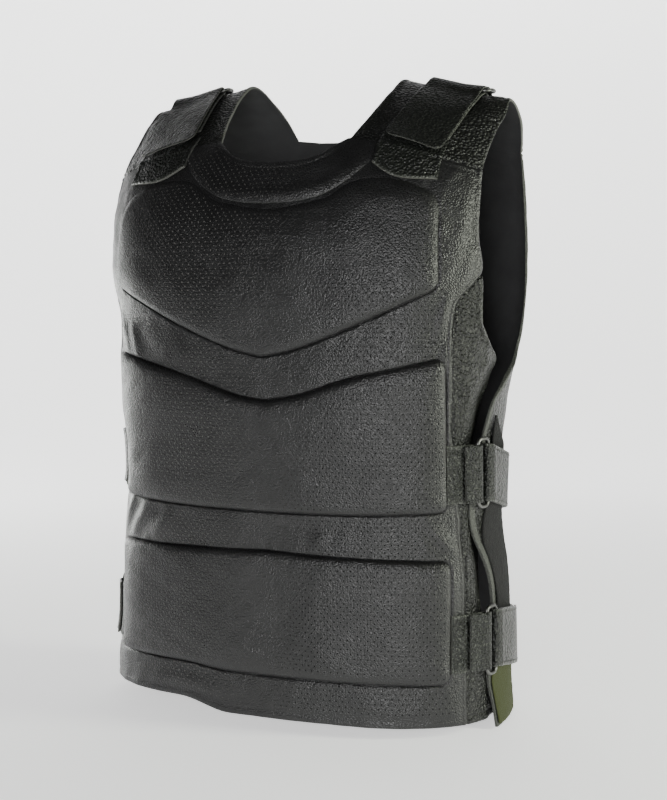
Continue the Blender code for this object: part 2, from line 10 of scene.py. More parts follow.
import bpy
import numpy as np
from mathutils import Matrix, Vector


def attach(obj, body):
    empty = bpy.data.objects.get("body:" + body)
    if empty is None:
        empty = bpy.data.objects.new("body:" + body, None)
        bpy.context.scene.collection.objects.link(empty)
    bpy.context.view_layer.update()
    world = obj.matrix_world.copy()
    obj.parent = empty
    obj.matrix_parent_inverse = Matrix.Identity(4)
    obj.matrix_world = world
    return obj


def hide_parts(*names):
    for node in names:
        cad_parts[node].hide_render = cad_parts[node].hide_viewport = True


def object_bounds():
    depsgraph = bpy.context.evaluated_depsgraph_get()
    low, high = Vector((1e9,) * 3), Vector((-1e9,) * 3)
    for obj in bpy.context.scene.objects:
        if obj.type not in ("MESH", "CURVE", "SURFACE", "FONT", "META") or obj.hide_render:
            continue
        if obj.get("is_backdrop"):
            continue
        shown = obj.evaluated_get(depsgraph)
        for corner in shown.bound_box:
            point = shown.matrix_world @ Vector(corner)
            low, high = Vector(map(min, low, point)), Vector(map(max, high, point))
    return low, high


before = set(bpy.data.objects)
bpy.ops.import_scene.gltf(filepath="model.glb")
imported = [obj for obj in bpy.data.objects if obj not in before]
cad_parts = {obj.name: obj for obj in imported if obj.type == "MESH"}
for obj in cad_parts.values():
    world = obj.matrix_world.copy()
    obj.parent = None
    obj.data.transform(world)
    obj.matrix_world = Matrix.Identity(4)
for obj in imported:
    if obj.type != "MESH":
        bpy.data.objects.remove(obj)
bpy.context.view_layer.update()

SIDES = {"left": 1, "right": -1}        # the wearer's own left and right, and the sign of X there
print("solids in the frame:", len(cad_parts))


def put_in_scene(name, data):
    """An object that holds this mesh, lamp or camera."""
    made = bpy.data.objects.new(name, data)
    bpy.context.scene.collection.objects.link(made)
    return made


# %% [markdown]
# ## The camera
#
# The view comes from the wearer's left, 25 degrees round from the front, at chest height. The
# camera is level, so upright edges stay upright, and a lens shift brings the hem into the frame.

# %% Place the camera
FOCAL_PIXELS = 1713.0
FRAME_LONG_SIDE = 800
SENSOR = 36.0
CAMERA_DISTANCE = 1.790
CAMERA_HEIGHT = -0.190
SHIFT_PIXELS = (12.5, -144.0)
azimuth = math.radians(25)
forward = Vector((-math.sin(azimuth), math.cos(azimuth), 0))
camera = put_in_scene("camera", bpy.data.cameras.new("camera"))
camera.data.lens = FOCAL_PIXELS * SENSOR / FRAME_LONG_SIDE
camera.data.sensor_width = SENSOR
camera.location = -forward * CAMERA_DISTANCE + Vector((0, 0, CAMERA_HEIGHT))
camera.rotation_euler = forward.to_track_quat("-Z", "Y").to_euler()
camera.data.shift_x, camera.data.shift_y = (pixels / FRAME_LONG_SIDE for pixels in SHIFT_PIXELS)
bpy.context.scene.camera = camera
print("lens:", round(camera.data.lens, 1), "mm")

# %% [markdown]
# ## The wearer's body
#
# A worn vest takes its shape from the body under it. The body is a stack of squarish ovals, and
# every place on the leather is given by three numbers: girth, the distance round the body from
# the centre front; rise, the height at the centre front, which counts on down the back past the
# ridge of the shoulders; and lift, the distance out from the body. Behind the ridge, girth starts
# from the centre back.

# %% Describe the body
RIDGE = 0.017
DROOP_ROUNDING = 0.020
BODY = np.array([
    # height, half_width, front, back, droop, squareness
    [-0.660, 0.197, -0.125, 0.112, 0.00, 2.7],
    [-0.520, 0.196, -0.125, 0.104, 0.00, 2.7],
    [-0.460, 0.192, -0.127, 0.096, 0.00, 2.7],
    [-0.400, 0.193, -0.129, 0.100, 0.00, 2.7],
    [-0.300, 0.198, -0.135, 0.110, 0.00, 2.7],
    [-0.210, 0.204, -0.136, 0.121, 0.02, 2.7],
    [-0.140, 0.207, -0.125, 0.130, 0.08, 2.7],
    [-0.080, 0.209, -0.099, 0.126, 0.16, 2.8],
    [-0.030, 0.209, -0.054, 0.103, 0.22, 3.1],
    [0.004, 0.208, -0.012, 0.060, 0.25, 3.8],
    [0.017, 0.207, 0.020, 0.020, 0.25, 4.2],
])


def ease(share):
    """A smooth step from 0 to 1."""
    share = np.clip(share, 0, 1)
    return share * share * (3 - 2 * share)


def beyond(value, start, width):
    """0 up to a start, and 1 from one width past it."""
    return ease((value - start) / width)


def close_to(value, middle, reach):
    """1 round a middle, and 0 well outside its reach."""
    return np.exp(-((value - middle) / reach) ** 4)


def bell(distance, width):
    """1 on a line, and falling away on both sides of it."""
    return np.exp(-(distance / width) ** 2)


def fade(distance, reach):
    """1 at an edge, and falling away inside it."""
    return np.exp(-np.clip(distance, 0, None) / reach)


def body_row(level):
    """The smooth body's row at a level, which counts the rows of BODY from 0."""
    over_the_ridge = BODY[-2, [0, 1, 3, 2, 4, 5]]
    rows = np.vstack([2 * BODY[0] - BODY[1], BODY, over_the_ridge])
    low = np.clip(level.astype(int), 0, len(BODY) - 2)
    part = (level - low)[..., None]
    before, start, end, after = (rows[low + step] for step in range(4))
    return 0.5 * (2 * start + (end - before) * part
                  + (2 * before - 5 * start + 4 * end - after) * part ** 2
                  + (3 * start - before - 3 * end + after) * part ** 3)


def section_point(angle, level):
    """A point of the body, at an angle round it from the centre front."""
    height, half_width, front, back, droop, squareness = np.moveaxis(body_row(level), -1, 0)
    side = np.sin(angle)
    ahead = np.cos(angle)
    middle = (front + back) / 2
    depth = np.where(ahead > 0, middle - front, back - middle)
    x = half_width * np.sign(side) * np.abs(side) ** (2 / squareness)
    y = middle - depth * np.sign(ahead) * np.abs(ahead) ** (2 / squareness)
    z = height - droop * np.sqrt(x * x + DROOP_ROUNDING ** 2)
    return np.stack([x, y, z], axis=-1)


def running_length(points):
    """Distance along a row of points, from the first."""
    steps = np.linalg.norm(np.diff(points, axis=0), axis=1)
    return np.concatenate([[0.0], np.cumsum(steps)])


def level_at(height):
    return np.interp(height, BODY[:, 0], np.arange(len(BODY)))


# %% [markdown]
# Thousands of points will be asked for, so the body is measured once on a grid 2 mm apart, and
# read back with smooth interpolation.

# %% Measure the body once, on a grid
STEP = 0.002
GRID_RISES = np.arange(-0.690, 0.731, STEP)
GRID_GIRTHS = np.arange(-0.010, 0.391, STEP)
ANGLES = np.linspace(0, math.pi, 721)


def grid_row(rise):
    level = level_at(2 * RIDGE - rise if rise > RIDGE else rise)
    length = running_length(section_point(ANGLES, np.full(ANGLES.shape, level)))
    reach = np.abs(GRID_GIRTHS)
    if rise > RIDGE:
        reach = length[-1] - reach
    found = section_point(np.interp(reach, length, ANGLES), np.full(reach.shape, level))
    found[:, 0] *= np.where(GRID_GIRTHS < 0, -1, 1)
    return found


GRID = np.array([grid_row(rise) for rise in GRID_RISES])


def cubic_shares(part):
    """How much each of four neighbouring grid lines counts."""
    return (0.5 * (-part + 2 * part ** 2 - part ** 3), 0.5 * (2 - 5 * part ** 2 + 3 * part ** 3),
            0.5 * (part + 4 * part ** 2 - 3 * part ** 3), 0.5 * (-part ** 2 + part ** 3))


def bare_point(girth, rise):
    """Points on the body itself."""
    girth, rise = np.broadcast_arrays(np.asarray(girth, float), np.asarray(rise, float))
    across = (np.abs(girth) - GRID_GIRTHS[0]) / STEP
    along = (rise - GRID_RISES[0]) / STEP
    column = np.clip(across.astype(int), 1, GRID.shape[1] - 3)
    row = np.clip(along.astype(int), 1, GRID.shape[0] - 3)
    found = 0
    for down, row_share in enumerate(cubic_shares(along - row)):
        for over, column_share in enumerate(cubic_shares(across - column)):
            found = found + (row_share * column_share)[..., None] * GRID[row + down - 1, column + over - 1]
    found[..., 0] *= np.where(girth < 0, -1, 1)
    return found


def settle(points):
    """A worn vest hangs unevenly. Each row is a move along X, a move along Z, and where it counts."""
    x, y, z = np.moveaxis(points, -1, 0)
    right = beyond(-x, 0.040, 0.150)
    left_end = beyond(x, 0.120, 0.060)
    moves = (
        # the right side stands out at the chest, the waist and the hem
        (-0.0160, 0.0, right * close_to(z, -0.150, 0.100)),
        (-0.0090, 0.0, right * beyond(-z, 0.240, 0.060)),
        (-0.0075, 0.0, right * beyond(-z, 0.560, 0.070)),
        # the hem is lifted at the right, and stands out at the left rear
        (0.0, 0.0100, beyond(-x, 0.040, 0.055) * beyond(-z, 0.570, 0.065)),
        (0.0050, 0.0, left_end * beyond(y, 0.020, 0.050) * beyond(-z, 0.610, 0.030)),
        # the upper side straps draw both sides in
        (-0.0145, 0.0, left_end * beyond(y, 0.005, 0.050) * close_to(z, -0.410, 0.045)),
        (0.0085, 0.0, beyond(-x, 0.130, 0.050) * beyond(y, -0.110, 0.030) * close_to(z, -0.397, 0.038)),
        # the shoulders sink, and less so towards the arms
        (0.0, -0.0048, beyond(z, -0.100, 0.070) * (1 - 0.85 * beyond(np.abs(x), 0.150, 0.045))),
    )
    across = sum(move * share for move, _, share in moves)
    up = sum(move * share for _, move, share in moves)
    return np.stack([x + across, y, z + up], axis=-1)


def on_body(girth, rise, lift=0.0, side=1):
    """Points at a distance out from the body. side is -1 for the wearer's right."""
    girth, rise, lift = np.broadcast_arrays(girth, rise, lift)
    across = bare_point(girth + 0.001, rise) - bare_point(girth - 0.001, rise)
    along = bare_point(girth, rise + 0.001) - bare_point(girth, rise - 0.001)
    out = np.cross(across, along)
    out /= np.linalg.norm(out, axis=-1, keepdims=True)
    return settle((bare_point(girth, rise) + out * lift[..., None]) * np.array([side, 1, 1]))


print("body grid:", GRID.shape[0], "x", GRID.shape[1], "points")

# %% [markdown]
# ## The cutting pattern
#
# These tables are the outlines of the leather, for the wearer's left side, as a pattern cutter
# would draw them on the body. The right side mirrors them.

# %% The outlines
SHELL = 0.0024              # leather of the panels, with its thin padding
LEATHER = 0.0024            # straps, tabs and patches
SEAM = -0.0010              # pieces sewn edge to edge overlap by this, so no light comes through
HEM = -0.642
BACK_HEM = -0.650
NECKLINE = np.array([[0.000, -0.0980], [0.015, -0.0965], [0.030, -0.0932], [0.047, -0.0848],
                     [0.060, -0.0735], [0.071, -0.0635]])
SHOULDER_SEAM = np.array([[0.071, -0.0635], [0.105, -0.0645], [0.140, -0.0665], [0.175, -0.0697],
                          [0.209, -0.0745]])
FRONT_SIDE = np.array([[-0.660, 0.203], [-0.532, 0.202], [-0.446, 0.197], [-0.357, 0.189],
                       [-0.300, 0.190], [-0.261, 0.192], [-0.230, 0.199], [-0.204, 0.222],
                       [-0.169, 0.218], [-0.122, 0.213], [-0.075, 0.208]])
GUSSET_TOP = -0.206
GUSSET = np.array([
    # height, girth where the leather turns in, girth of the rear edge, depth of that edge
    [-0.642, 0.226, 0.266, 0.005], [-0.600, 0.217, 0.254, 0.008], [-0.545, 0.205, 0.242, 0.012],
    [-0.500, 0.203, 0.240, 0.012], [-0.448, 0.198, 0.240, 0.013], [-0.400, 0.193, 0.240, 0.014],
    [-0.367, 0.192, 0.240, 0.015], [-0.330, 0.205, 0.256, 0.013], [-0.305, 0.225, 0.270, 0.008],
    [-0.291, 0.240, 0.266, 0.003], [-0.275, 0.235, 0.242, 0.000], [-0.257, 0.228, 0.229, 0.000],
    [-0.221, 0.226, 0.227, 0.000], [-0.204, 0.224, 0.225, 0.000],
])
YOKE_SEAM = np.array([[0.000, -0.138], [0.030, -0.135], [0.062, -0.124], [0.085, -0.104], [0.105, -0.076]])
YOKE_END = 0.0995
NECK_EDGE = np.array([[-0.0635, 0.0712], [-0.049, 0.0755], [-0.023, 0.0820], [0.004, 0.0878],
                      [0.017, 0.0885], [0.030, 0.0878], [0.057, 0.0830], [0.079, 0.0785]])
ARM_EDGE = np.array([[-0.075, 0.2080], [-0.049, 0.2070], [-0.024, 0.2070], [-0.002, 0.2095],
                     [0.008, 0.2085], [0.017, 0.2065], [0.026, 0.2085], [0.036, 0.2095],
                     [0.057, 0.2070], [0.079, 0.2045]])
BACK_SEAM = -0.045
BACK_NECK = np.array([[0.000, -0.0580], [0.030, -0.0570], [0.055, -0.0530], [0.070, -0.0480],
                      [0.0785, -0.0450], [0.120, -0.0450], [0.2045, -0.0450]])
BACK_SIDE = np.array([
    # height, girth from the centre back, how far the edge stands away from the body
    [-0.660, 0.290, 0.009], [-0.635, 0.291, 0.006], [-0.608, 0.293, 0.001], [-0.560, 0.284, 0.000],
    [-0.529, 0.2775, 0.000], [-0.486, 0.287, 0.000], [-0.438, 0.301, 0.000], [-0.400, 0.296, 0.000],
    [-0.367, 0.292, 0.000], [-0.350, 0.288, 0.001], [-0.332, 0.2795, 0.002], [-0.318, 0.263, 0.003],
    [-0.305, 0.2476, 0.004], [-0.291, 0.2246, 0.006], [-0.270, 0.216, 0.010], [-0.238, 0.211, 0.013],
    [-0.170, 0.206, 0.011], [-0.100, 0.202, 0.006], [-0.045, 0.2045, 0.000],
])
FLARE_WIDTH = 0.080
LOOP_FRONT = np.array([[-0.647, 0.2885], [-0.620, 0.2900], [-0.604, 0.2880], [-0.590, 0.276], [-0.560, 0.274],
                       [-0.529, 0.269], [-0.500, 0.276], [-0.462, 0.284], [-0.440, 0.280],
                       [-0.420, 0.273], [-0.390, 0.272], [-0.345, 0.274]])
LOOP_REAR = np.array([[-0.647, 0.222], [-0.392, 0.222], [-0.380, 0.230], [-0.345, 0.270]])
PADS = {
    # edges as girth and height, and the half width at the top and at the bottom
    "chest_pad": {
        "top": np.array([[0.000, -0.141], [0.030, -0.138], [0.062, -0.127], [0.085, -0.108],
                         [0.100, -0.102], [0.115, -0.1005], [0.140, -0.1005], [0.170, -0.101]]),
        "bottom": np.array([[0.000, -0.2885], [0.025, -0.284], [0.090, -0.261], [0.177, -0.2190]]),
        "half_width": (0.171, 0.177), "top_slope": 0.22},
    "waist_pad": {
        "top": np.array([[0.000, -0.330], [0.025, -0.327], [0.093, -0.307], [0.180, -0.288]]),
        "bottom": np.array([[0.000, -0.438], [0.090, -0.437], [0.180, -0.434]]),
        "half_width": (0.183, 0.182)},
    "belly_pad": {
        "top": np.array([[0.000, -0.481], [0.090, -0.484], [0.182, -0.487]]),
        "bottom": np.array([[0.000, -0.604], [0.090, -0.604], [0.180, -0.605]]),
        "half_width": (0.185, 0.184)},
}
PAD_CORNER = 0.010
SOFT_CORNER = 0.055         # below a soft top edge, the side edges stay soft this far down


def smooth_curve(table, at, column=1):
    """Reads a column of a table on a smooth curve through its rows."""
    x = table[:, 0]
    y = table[:, column]
    slope = np.gradient(y, x)
    at = np.clip(at, x[0], x[-1])
    low = np.clip(np.searchsorted(x, at) - 1, 0, len(x) - 2)
    width = x[low + 1] - x[low]
    part = (at - x[low]) / width
    blend = ease(part)
    start_pull = part * (1 - part) ** 2 * slope[low]
    end_pull = part ** 2 * (1 - part) * slope[low + 1]
    return y[low] + (y[low + 1] - y[low]) * blend + width * (start_pull - end_pull)


def straight_lines(table, at, column=1):
    return np.interp(at, table[:, 0], table[:, column])


def top_of_front(girth):
    girth = np.abs(girth)
    neck, shoulder = smooth_curve(NECKLINE, girth), straight_lines(SHOULDER_SEAM, girth)
    return np.where(girth < NECKLINE[-1, 0], neck, shoulder)


def back_flare(girth, height):
    """How far the back panel stands away from the body near its side edges."""
    edge = smooth_curve(BACK_SIDE, height)
    most = smooth_curve(BACK_SIDE, height, column=2)
    return most * ease((np.abs(girth) - edge + FLARE_WIDTH) / FLARE_WIDTH)


def above(table, girth, rise):
    """Distance above an outline that is given by girth, measured square to it."""
    girth = np.abs(girth)
    slope = (smooth_curve(table, girth + 0.001) - smooth_curve(table, girth - 0.001)) / 0.002
    return (rise - smooth_curve(table, girth)) / np.sqrt(1 + slope ** 2)


def half_width_at(pad, share):
    """Half a pad's width, at a share of its height."""
    top, bottom = pad["half_width"]
    return bottom + (top - bottom) * share


def inside_pad(pad, girth, rise, soft=True):
    """Distance in from a pad's outline, below zero outside it. A soft top edge counts more slowly."""
    top_slope = pad.get("top_slope", 1.0) if soft else 1.0
    low = smooth_curve(pad["bottom"], np.abs(girth))
    high = smooth_curve(pad["top"], np.abs(girth))
    share = np.clip((rise - low) / (high - low), 0, 1)
    from_side = half_width_at(pad, share) - np.abs(girth)
    from_side = from_side * (1 - (1 - top_slope) * (1 - ease((high - rise) / SOFT_CORNER)))
    from_end = np.minimum(above(pad["bottom"], girth, rise), -above(pad["top"], girth, rise) * top_slope)
    nearest = np.minimum(from_side, from_end)
    corner = np.hypot(np.maximum(PAD_CORNER - from_side, 0), np.maximum(PAD_CORNER - from_end, 0))
    return np.where((from_side > PAD_CORNER) & (from_end > PAD_CORNER), nearest, PAD_CORNER - corner)


print("pads:", ", ".join(PADS))

# %% [markdown]
# ## Leather that isn't perfect
#
# Flat computed leather looks like plastic. A few long waves, the same in every run, make its
# reflections wander, and a list of folds adds the creases that a worn vest has in known places.

# %% Waves and folds
def waves(girth, rise, length, seed):
    """A smooth wandering field between about -1 and 1."""
    generator = np.random.default_rng(seed)
    total = 0
    for _ in range(9):
        turn = generator.uniform(0, math.pi)
        reach = length * generator.uniform(0.6, 1.6)
        phase = generator.uniform(0, 2 * math.pi)
        total = total + np.sin((girth * math.cos(turn) + rise * math.sin(turn)) * 2 * math.pi / reach + phase)
    return total / 4.0


FOLDS = np.array([
    # girth, rise, degrees from level, half length, half width, height
    [-0.172, -0.452, 62, 0.024, 0.0060, 0.0024],
    [-0.150, -0.458, 55, 0.026, 0.0075, 0.0022],
    [-0.118, -0.462, 50, 0.024, 0.0080, 0.0014],
    [-0.175, -0.268, -58, 0.022, 0.0060, 0.0020],
    [-0.155, -0.276, -62, 0.020, 0.0060, 0.0012],
    [0.182, -0.243, 72, 0.017, 0.0050, 0.0020],
    [0.171, -0.262, 78, 0.016, 0.0055, -0.0007],
    [0.184, -0.282, 66, 0.014, 0.0050, 0.0014],
    [0.196, -0.160, 84, 0.045, 0.0060, 0.0012],
    [0.204, -0.205, 72, 0.030, 0.0055, 0.0014],
    [0.176, -0.461, -48, 0.020, 0.0065, 0.0016],
    [0.158, -0.462, -60, 0.018, 0.0070, 0.0012],
    [0.060, -0.462, 82, 0.014, 0.0080, 0.0008],
    [0.120, -0.624, -8, 0.045, 0.0080, 0.0012],
    [-0.080, -0.625, 6, 0.050, 0.0080, 0.0010],
    [-0.196, -0.160, 96, 0.045, 0.0060, 0.0010],
])
FOLD_STRENGTH = 1.3


def folds(girth, rise):
    total = 0
    for at_girth, at_rise, degrees, half_length, half_width, height in FOLDS:
        turn = math.radians(degrees)
        along = (girth - at_girth) * math.cos(turn) + (rise - at_rise) * math.sin(turn)
        across = (rise - at_rise) * math.cos(turn) - (girth - at_girth) * math.sin(turn)
        total = total + FOLD_STRENGTH * height * bell(along, half_length) * bell(across, half_width)
    return total


print("folds:", len(FOLDS))

# %% [markdown]
# ## Turning grids into leather
#
# Every panel starts as a grid of places. Its upper face and its underside are joined by a rim, so
# that the sheet has real thickness and closes. The pattern coordinates are kept as a UV map, in
# metres, so that holes can later be punched on a lattice that follows the leather.

# %% Build one closed sheet
PARKED_UV = 9.0             # where the underside's UVs lie, away from the pattern
SHARP_DEGREES = 55          # edges that turn by more than this are drawn sharp


def enclosed_volume(vertices, faces):
    a, b, c, d = (vertices[faces[:, corner]] for corner in range(4))
    return float((a * np.cross(b, c)).sum() + (a * np.cross(c, d)).sum()) / 6


def outward_mesh(name, vertices, faces, finishes):
    """A smooth closed mesh whose faces point outwards, and those faces."""
    if enclosed_volume(vertices, faces) < 0:
        faces = faces[:, ::-1]
    mesh = bpy.data.meshes.new(name)
    mesh.from_pydata(vertices.tolist(), [], faces.tolist())
    for finish in finishes:
        mesh.materials.append(finish)
    mesh.shade_smooth()
    return mesh, faces


def closed_sheet(name, upper, lower, girth, rise, finishes, wear_and_painted_reflection=None):
    """A closed sheet between two grids of points. finishes are its face, underside and cut edge."""
    rows, columns = upper.shape[:2]
    count = rows * columns
    grid = np.arange(count).reshape(rows, columns)
    top = np.stack([grid[:-1, :-1], grid[:-1, 1:], grid[1:, 1:], grid[1:, :-1]], axis=-1).reshape(-1, 4)
    rim = np.concatenate([grid[0, :-1], grid[:-1, -1], grid[-1, :0:-1], grid[:0:-1, 0]])
    ahead = np.roll(rim, -1)
    wall = np.stack([ahead, rim, rim + count, ahead + count], axis=-1)
    faces = np.concatenate([top, top[:, ::-1] + count, wall])
    vertices = np.concatenate([upper.reshape(-1, 3), lower.reshape(-1, 3)])
    mesh, faces = outward_mesh(name, vertices, faces, finishes)
    places = np.full((len(faces) * 4, 2), PARKED_UV)
    pattern = np.stack(np.broadcast_arrays(girth, rise), axis=-1).reshape(-1, 2)
    places[:len(top) * 4] = pattern[faces[:len(top)].ravel()]
    mesh.uv_layers.new(name="pattern").data.foreach_set("uv", places.ravel())
    slots = np.repeat([0, 1, 2], [len(top), len(top), len(rim)])
    mesh.polygons.foreach_set("material_index", slots.astype(np.int32))
    wear_and_reflection_share = np.zeros(count * 2)
    if wear_and_painted_reflection is not None:
        wear_and_reflection_share[:count] = np.broadcast_to(wear_and_painted_reflection, (rows, columns)).ravel()
    mesh.attributes.new("wear_and_painted_reflection", "FLOAT", "POINT").data.foreach_set("value", wear_and_reflection_share)
    mesh.set_sharp_from_angle(angle=math.radians(SHARP_DEGREES))
    return put_in_scene(name, mesh)


def lay_sheet(name, girth, rise, low, high, finishes, wear_and_painted_reflection=None, side=1, height=None):
    """A closed sheet on the body, between two lifts. Behind the ridge its pattern goes by height."""
    return closed_sheet(name, on_body(girth, rise, high, side), on_body(girth, rise, low, side),
                        girth, rise if height is None else height, finishes, wear_and_painted_reflection)


# %% [markdown]
# ## Finishes
#
# Leather is nearly black, so what the eye reads is its sheen and its grain. The grain comes from
# Voronoi cells: small and shallow on the smooth front, large and deep on the pebbled panels. Noise
# breaks up the colour and the roughness. The wear attribute lightens cut and rubbed edges, and on
# the loop tape's lower end it paints an olive reflection.

# %% Small helpers for nodes
def wire(tree, socket, value):
    """Links a node or an output to a socket, or sets the socket's own value."""
    if isinstance(value, bpy.types.Node):
        value = value.outputs[0]
    if isinstance(value, bpy.types.NodeSocket):
        tree.links.new(value, socket)
    else:
        socket.default_value = value


def add_node(tree, kind, inputs=None, **settings):
    """A node with these settings. Each input takes a node, an output or a plain value."""
    node = tree.nodes.new(kind)
    for name, value in settings.items():
        setattr(node, name, value)
    for name, value in (inputs or {}).items():
        wire(tree, node.inputs[name], value)
    return node


def maths(tree, operation, *values, clamp=False):
    return add_node(tree, "ShaderNodeMath", dict(enumerate(values)), operation=operation, use_clamp=clamp)


def spread(tree, value, start, end, low, high):
    """Maps the values from start to end onto the values from low to high."""
    return add_node(tree, "ShaderNodeMapRange", {
        "Value": value, "From Min": start, "From Max": end, "To Min": low, "To Max": high})


def vary(tree, where, scale, low, high):
    """Noise spread between two values."""
    noise = add_node(tree, "ShaderNodeTexNoise", {"Vector": where, "Scale": scale, "Detail": 3.0})
    return spread(tree, noise, 0.3, 0.7, low, high)


def mix_colours(tree, share, first, second):
    mix = add_node(tree, "ShaderNodeMix", data_type="RGBA")
    for index, value in ((0, share), (6, first), (7, second)):
        wire(tree, mix.inputs[index], (*value, 1.0) if isinstance(value, tuple) else value)
    return mix.outputs[2]


def patchy(tree, where, colour, scale, brighter, wear_and_reflection_colour=None):
    """A colour with brighter patches. Where the wear attribute is 1, it is the wear colour, which is real
    wear on edges and a painted olive reflection on the loop tape.
    """
    patches = vary(tree, where, scale, 0.0, 1.0)
    tint = mix_colours(tree, patches, colour, tuple(brighter * part for part in colour))
    if wear_and_reflection_colour:
        wear_and_reflection_share = add_node(tree, "ShaderNodeAttribute", attribute_name="wear_and_painted_reflection").outputs["Fac"]
        tint = mix_colours(tree, wear_and_reflection_share, tint, wear_and_reflection_colour)
    return tint


def new_finish(name, roughness, specular=0.5, metallic=0.0, sheen=0.0):
    material = bpy.data.materials.new(name)
    material.use_nodes = True
    tree = material.node_tree
    shader = tree.nodes["Principled BSDF"]
    shader.inputs["Roughness"].default_value = roughness
    shader.inputs["Specular IOR Level"].default_value = specular
    shader.inputs["Metallic"].default_value = metallic
    shader.inputs["Sheen Weight"].default_value = sheen
    where = add_node(tree, "ShaderNodeTexCoord").outputs["Object"]
    return material, tree, shader, where


def join_up(tree, shader, tint, roughness, height, strength, depth):
    """Links a colour, a roughness and a bump to the shader."""
    bump = add_node(tree, "ShaderNodeBump", {"Strength": strength, "Distance": depth, "Height": height})
    for name, value in (("Base Color", tint), ("Roughness", roughness), ("Normal", bump)):
        wire(tree, shader.inputs[name], value)


# %% The leather itself
def leather(name, colour, wear_and_reflection_colour, cell, depth, roughness, strength, specular=0.5):
    """Grained leather. cell is the size of a pebble, and depth is its height, in metres."""
    material, tree, shader, where = new_finish(name, roughness, specular)
    tint = patchy(tree, where, colour, 28.0, 1.35, wear_and_reflection_colour)
    bent = add_node(tree, "ShaderNodeTexNoise", {"Vector": where, "Scale": 0.30 / cell, "Detail": 1.0})
    shift = add_node(tree, "ShaderNodeVectorMath", {0: bent.outputs["Color"], 1: (0.6 * cell,) * 3},
                     operation="MULTIPLY")
    moved = add_node(tree, "ShaderNodeVectorMath", {0: where, 1: shift}, operation="ADD")
    cells = add_node(tree, "ShaderNodeTexVoronoi", {
        "Vector": moved, "Scale": 1 / cell, "Randomness": 0.9, "Smoothness": 0.35}, feature="SMOOTH_F1")
    pores = add_node(tree, "ShaderNodeTexNoise", {"Vector": where, "Scale": 2.2 / cell, "Detail": 3.0})
    height = maths(tree, "MULTIPLY_ADD", pores, 0.22, maths(tree, "MULTIPLY", cells, -1.0))
    rough = vary(tree, where, 60.0, roughness - 0.07, roughness + 0.05)
    rough = maths(tree, "MULTIPLY_ADD", cells, 0.18, rough)
    join_up(tree, shader, tint, rough, height, strength, depth)
    return material


def plain_finish(name, colour, roughness, grain, depth,
                 specular=0.5, metallic=0.0, sheen=0.0, wear_and_reflection_colour=None):
    """A finish without pebbles. grain is the size of its fine bumps, and depth their height, in metres."""
    material, tree, shader, where = new_finish(name, roughness, specular, metallic, sheen)
    tint = patchy(tree, where, colour, 0.12 / grain, 1.4, wear_and_reflection_colour)
    fine = add_node(tree, "ShaderNodeTexNoise", {"Vector": where, "Scale": 1 / grain, "Detail": 4.0})
    rough = vary(tree, where, 0.5 / grain, roughness - 0.08, roughness + 0.08)
    join_up(tree, shader, tint, rough, fine, 0.8, depth)
    return material


def paint_hole_shade_and_light(dark, pale):
    """The holes' painted shade, which turns to a painted pale light on the right of the vest, where its
    leather is darkest.
    """
    material, tree, shader, where = new_finish("hole_painted_shade_and_light", 0.9, 0.1)
    place = add_node(tree, "ShaderNodeSeparateXYZ", {0: where})
    # Painted light: the holes turn pale towards the wearer's right.
    across = maths(tree, "MULTIPLY_ADD", place.outputs["Z"], -0.10, place.outputs["X"])
    painted_light_share = spread(tree, across, -0.04, 0.10, 1.0, 0.0)
    share = maths(tree, "MULTIPLY", painted_light_share, vary(tree, where, 9.0, 0.75, 1.15), clamp=True)
    wire(tree, shader.inputs["Base Color"], mix_colours(tree, share, dark, pale))
    return material


# %% Mix the finishes
FRONT_LEATHER = leather("fine_perforated_leather", (0.0062, 0.0062, 0.0064), (0.040, 0.040, 0.040),
                        cell=0.0017, depth=0.00058, roughness=0.30, strength=1.0)
PEBBLED_LEATHER = leather("pebbled_leather", (0.0075, 0.0080, 0.0070), (0.050, 0.053, 0.045),
                          cell=0.0031, depth=0.0024, roughness=0.28, strength=1.0, specular=0.34)
STRAP_LEATHER = leather("strap_leather", (0.0085, 0.0094, 0.0080), (0.080, 0.085, 0.073),
                        cell=0.0028, depth=0.0020, roughness=0.27, strength=1.0, specular=0.32)
INNER_FACE = leather("inner_face", (0.030, 0.030, 0.031), (0.05, 0.05, 0.05),
                     cell=0.0009, depth=0.00015, roughness=0.75, strength=0.4, specular=0.3)
CUT_EDGE = leather("cut_edge", (0.050, 0.052, 0.046), (0.09, 0.09, 0.08),
                   cell=0.0008, depth=0.0002, roughness=0.6, strength=0.5)
BINDING = leather("edge_binding", (0.034, 0.036, 0.031), (0.060, 0.060, 0.056),
                  cell=0.0022, depth=0.0011, roughness=0.60, strength=1.0)
# Painted shade in the holes, which turns into painted pale light towards the wearer's right.
HOLE_PAINTED_SHADE_AND_LIGHT = paint_hole_shade_and_light(dark=(0.006, 0.006, 0.006), pale=(0.115, 0.112, 0.106))
THREAD = plain_finish("black_thread", (0.042, 0.042, 0.040), roughness=0.6, grain=0.0005, depth=0.0001,
                      specular=0.4)
# Its olive wear colour is a painted reflection, put on the tape's lower end.
LOOP_PILE = plain_finish("loop_pile", (0.0070, 0.0070, 0.0070), roughness=0.95, grain=0.0011, depth=0.0012,
                         specular=0.1, sheen=0.08, wear_and_reflection_colour=(0.040, 0.047, 0.016))
RING_WIRE = plain_finish("ring_wire", (0.10, 0.10, 0.097), roughness=0.40, grain=0.0030, depth=0.00008,
                         metallic=1.0)
print("finishes:", len(bpy.data.materials))

# %% [markdown]
# ## The front panel
#
# One sheet of leather from hem to neckline. The foam pads are sewn down round their outlines, so
# the leather dips into a channel there, and it puckers where the thread pulls it. Edges that are
# turned under and stitched stand a little proud.

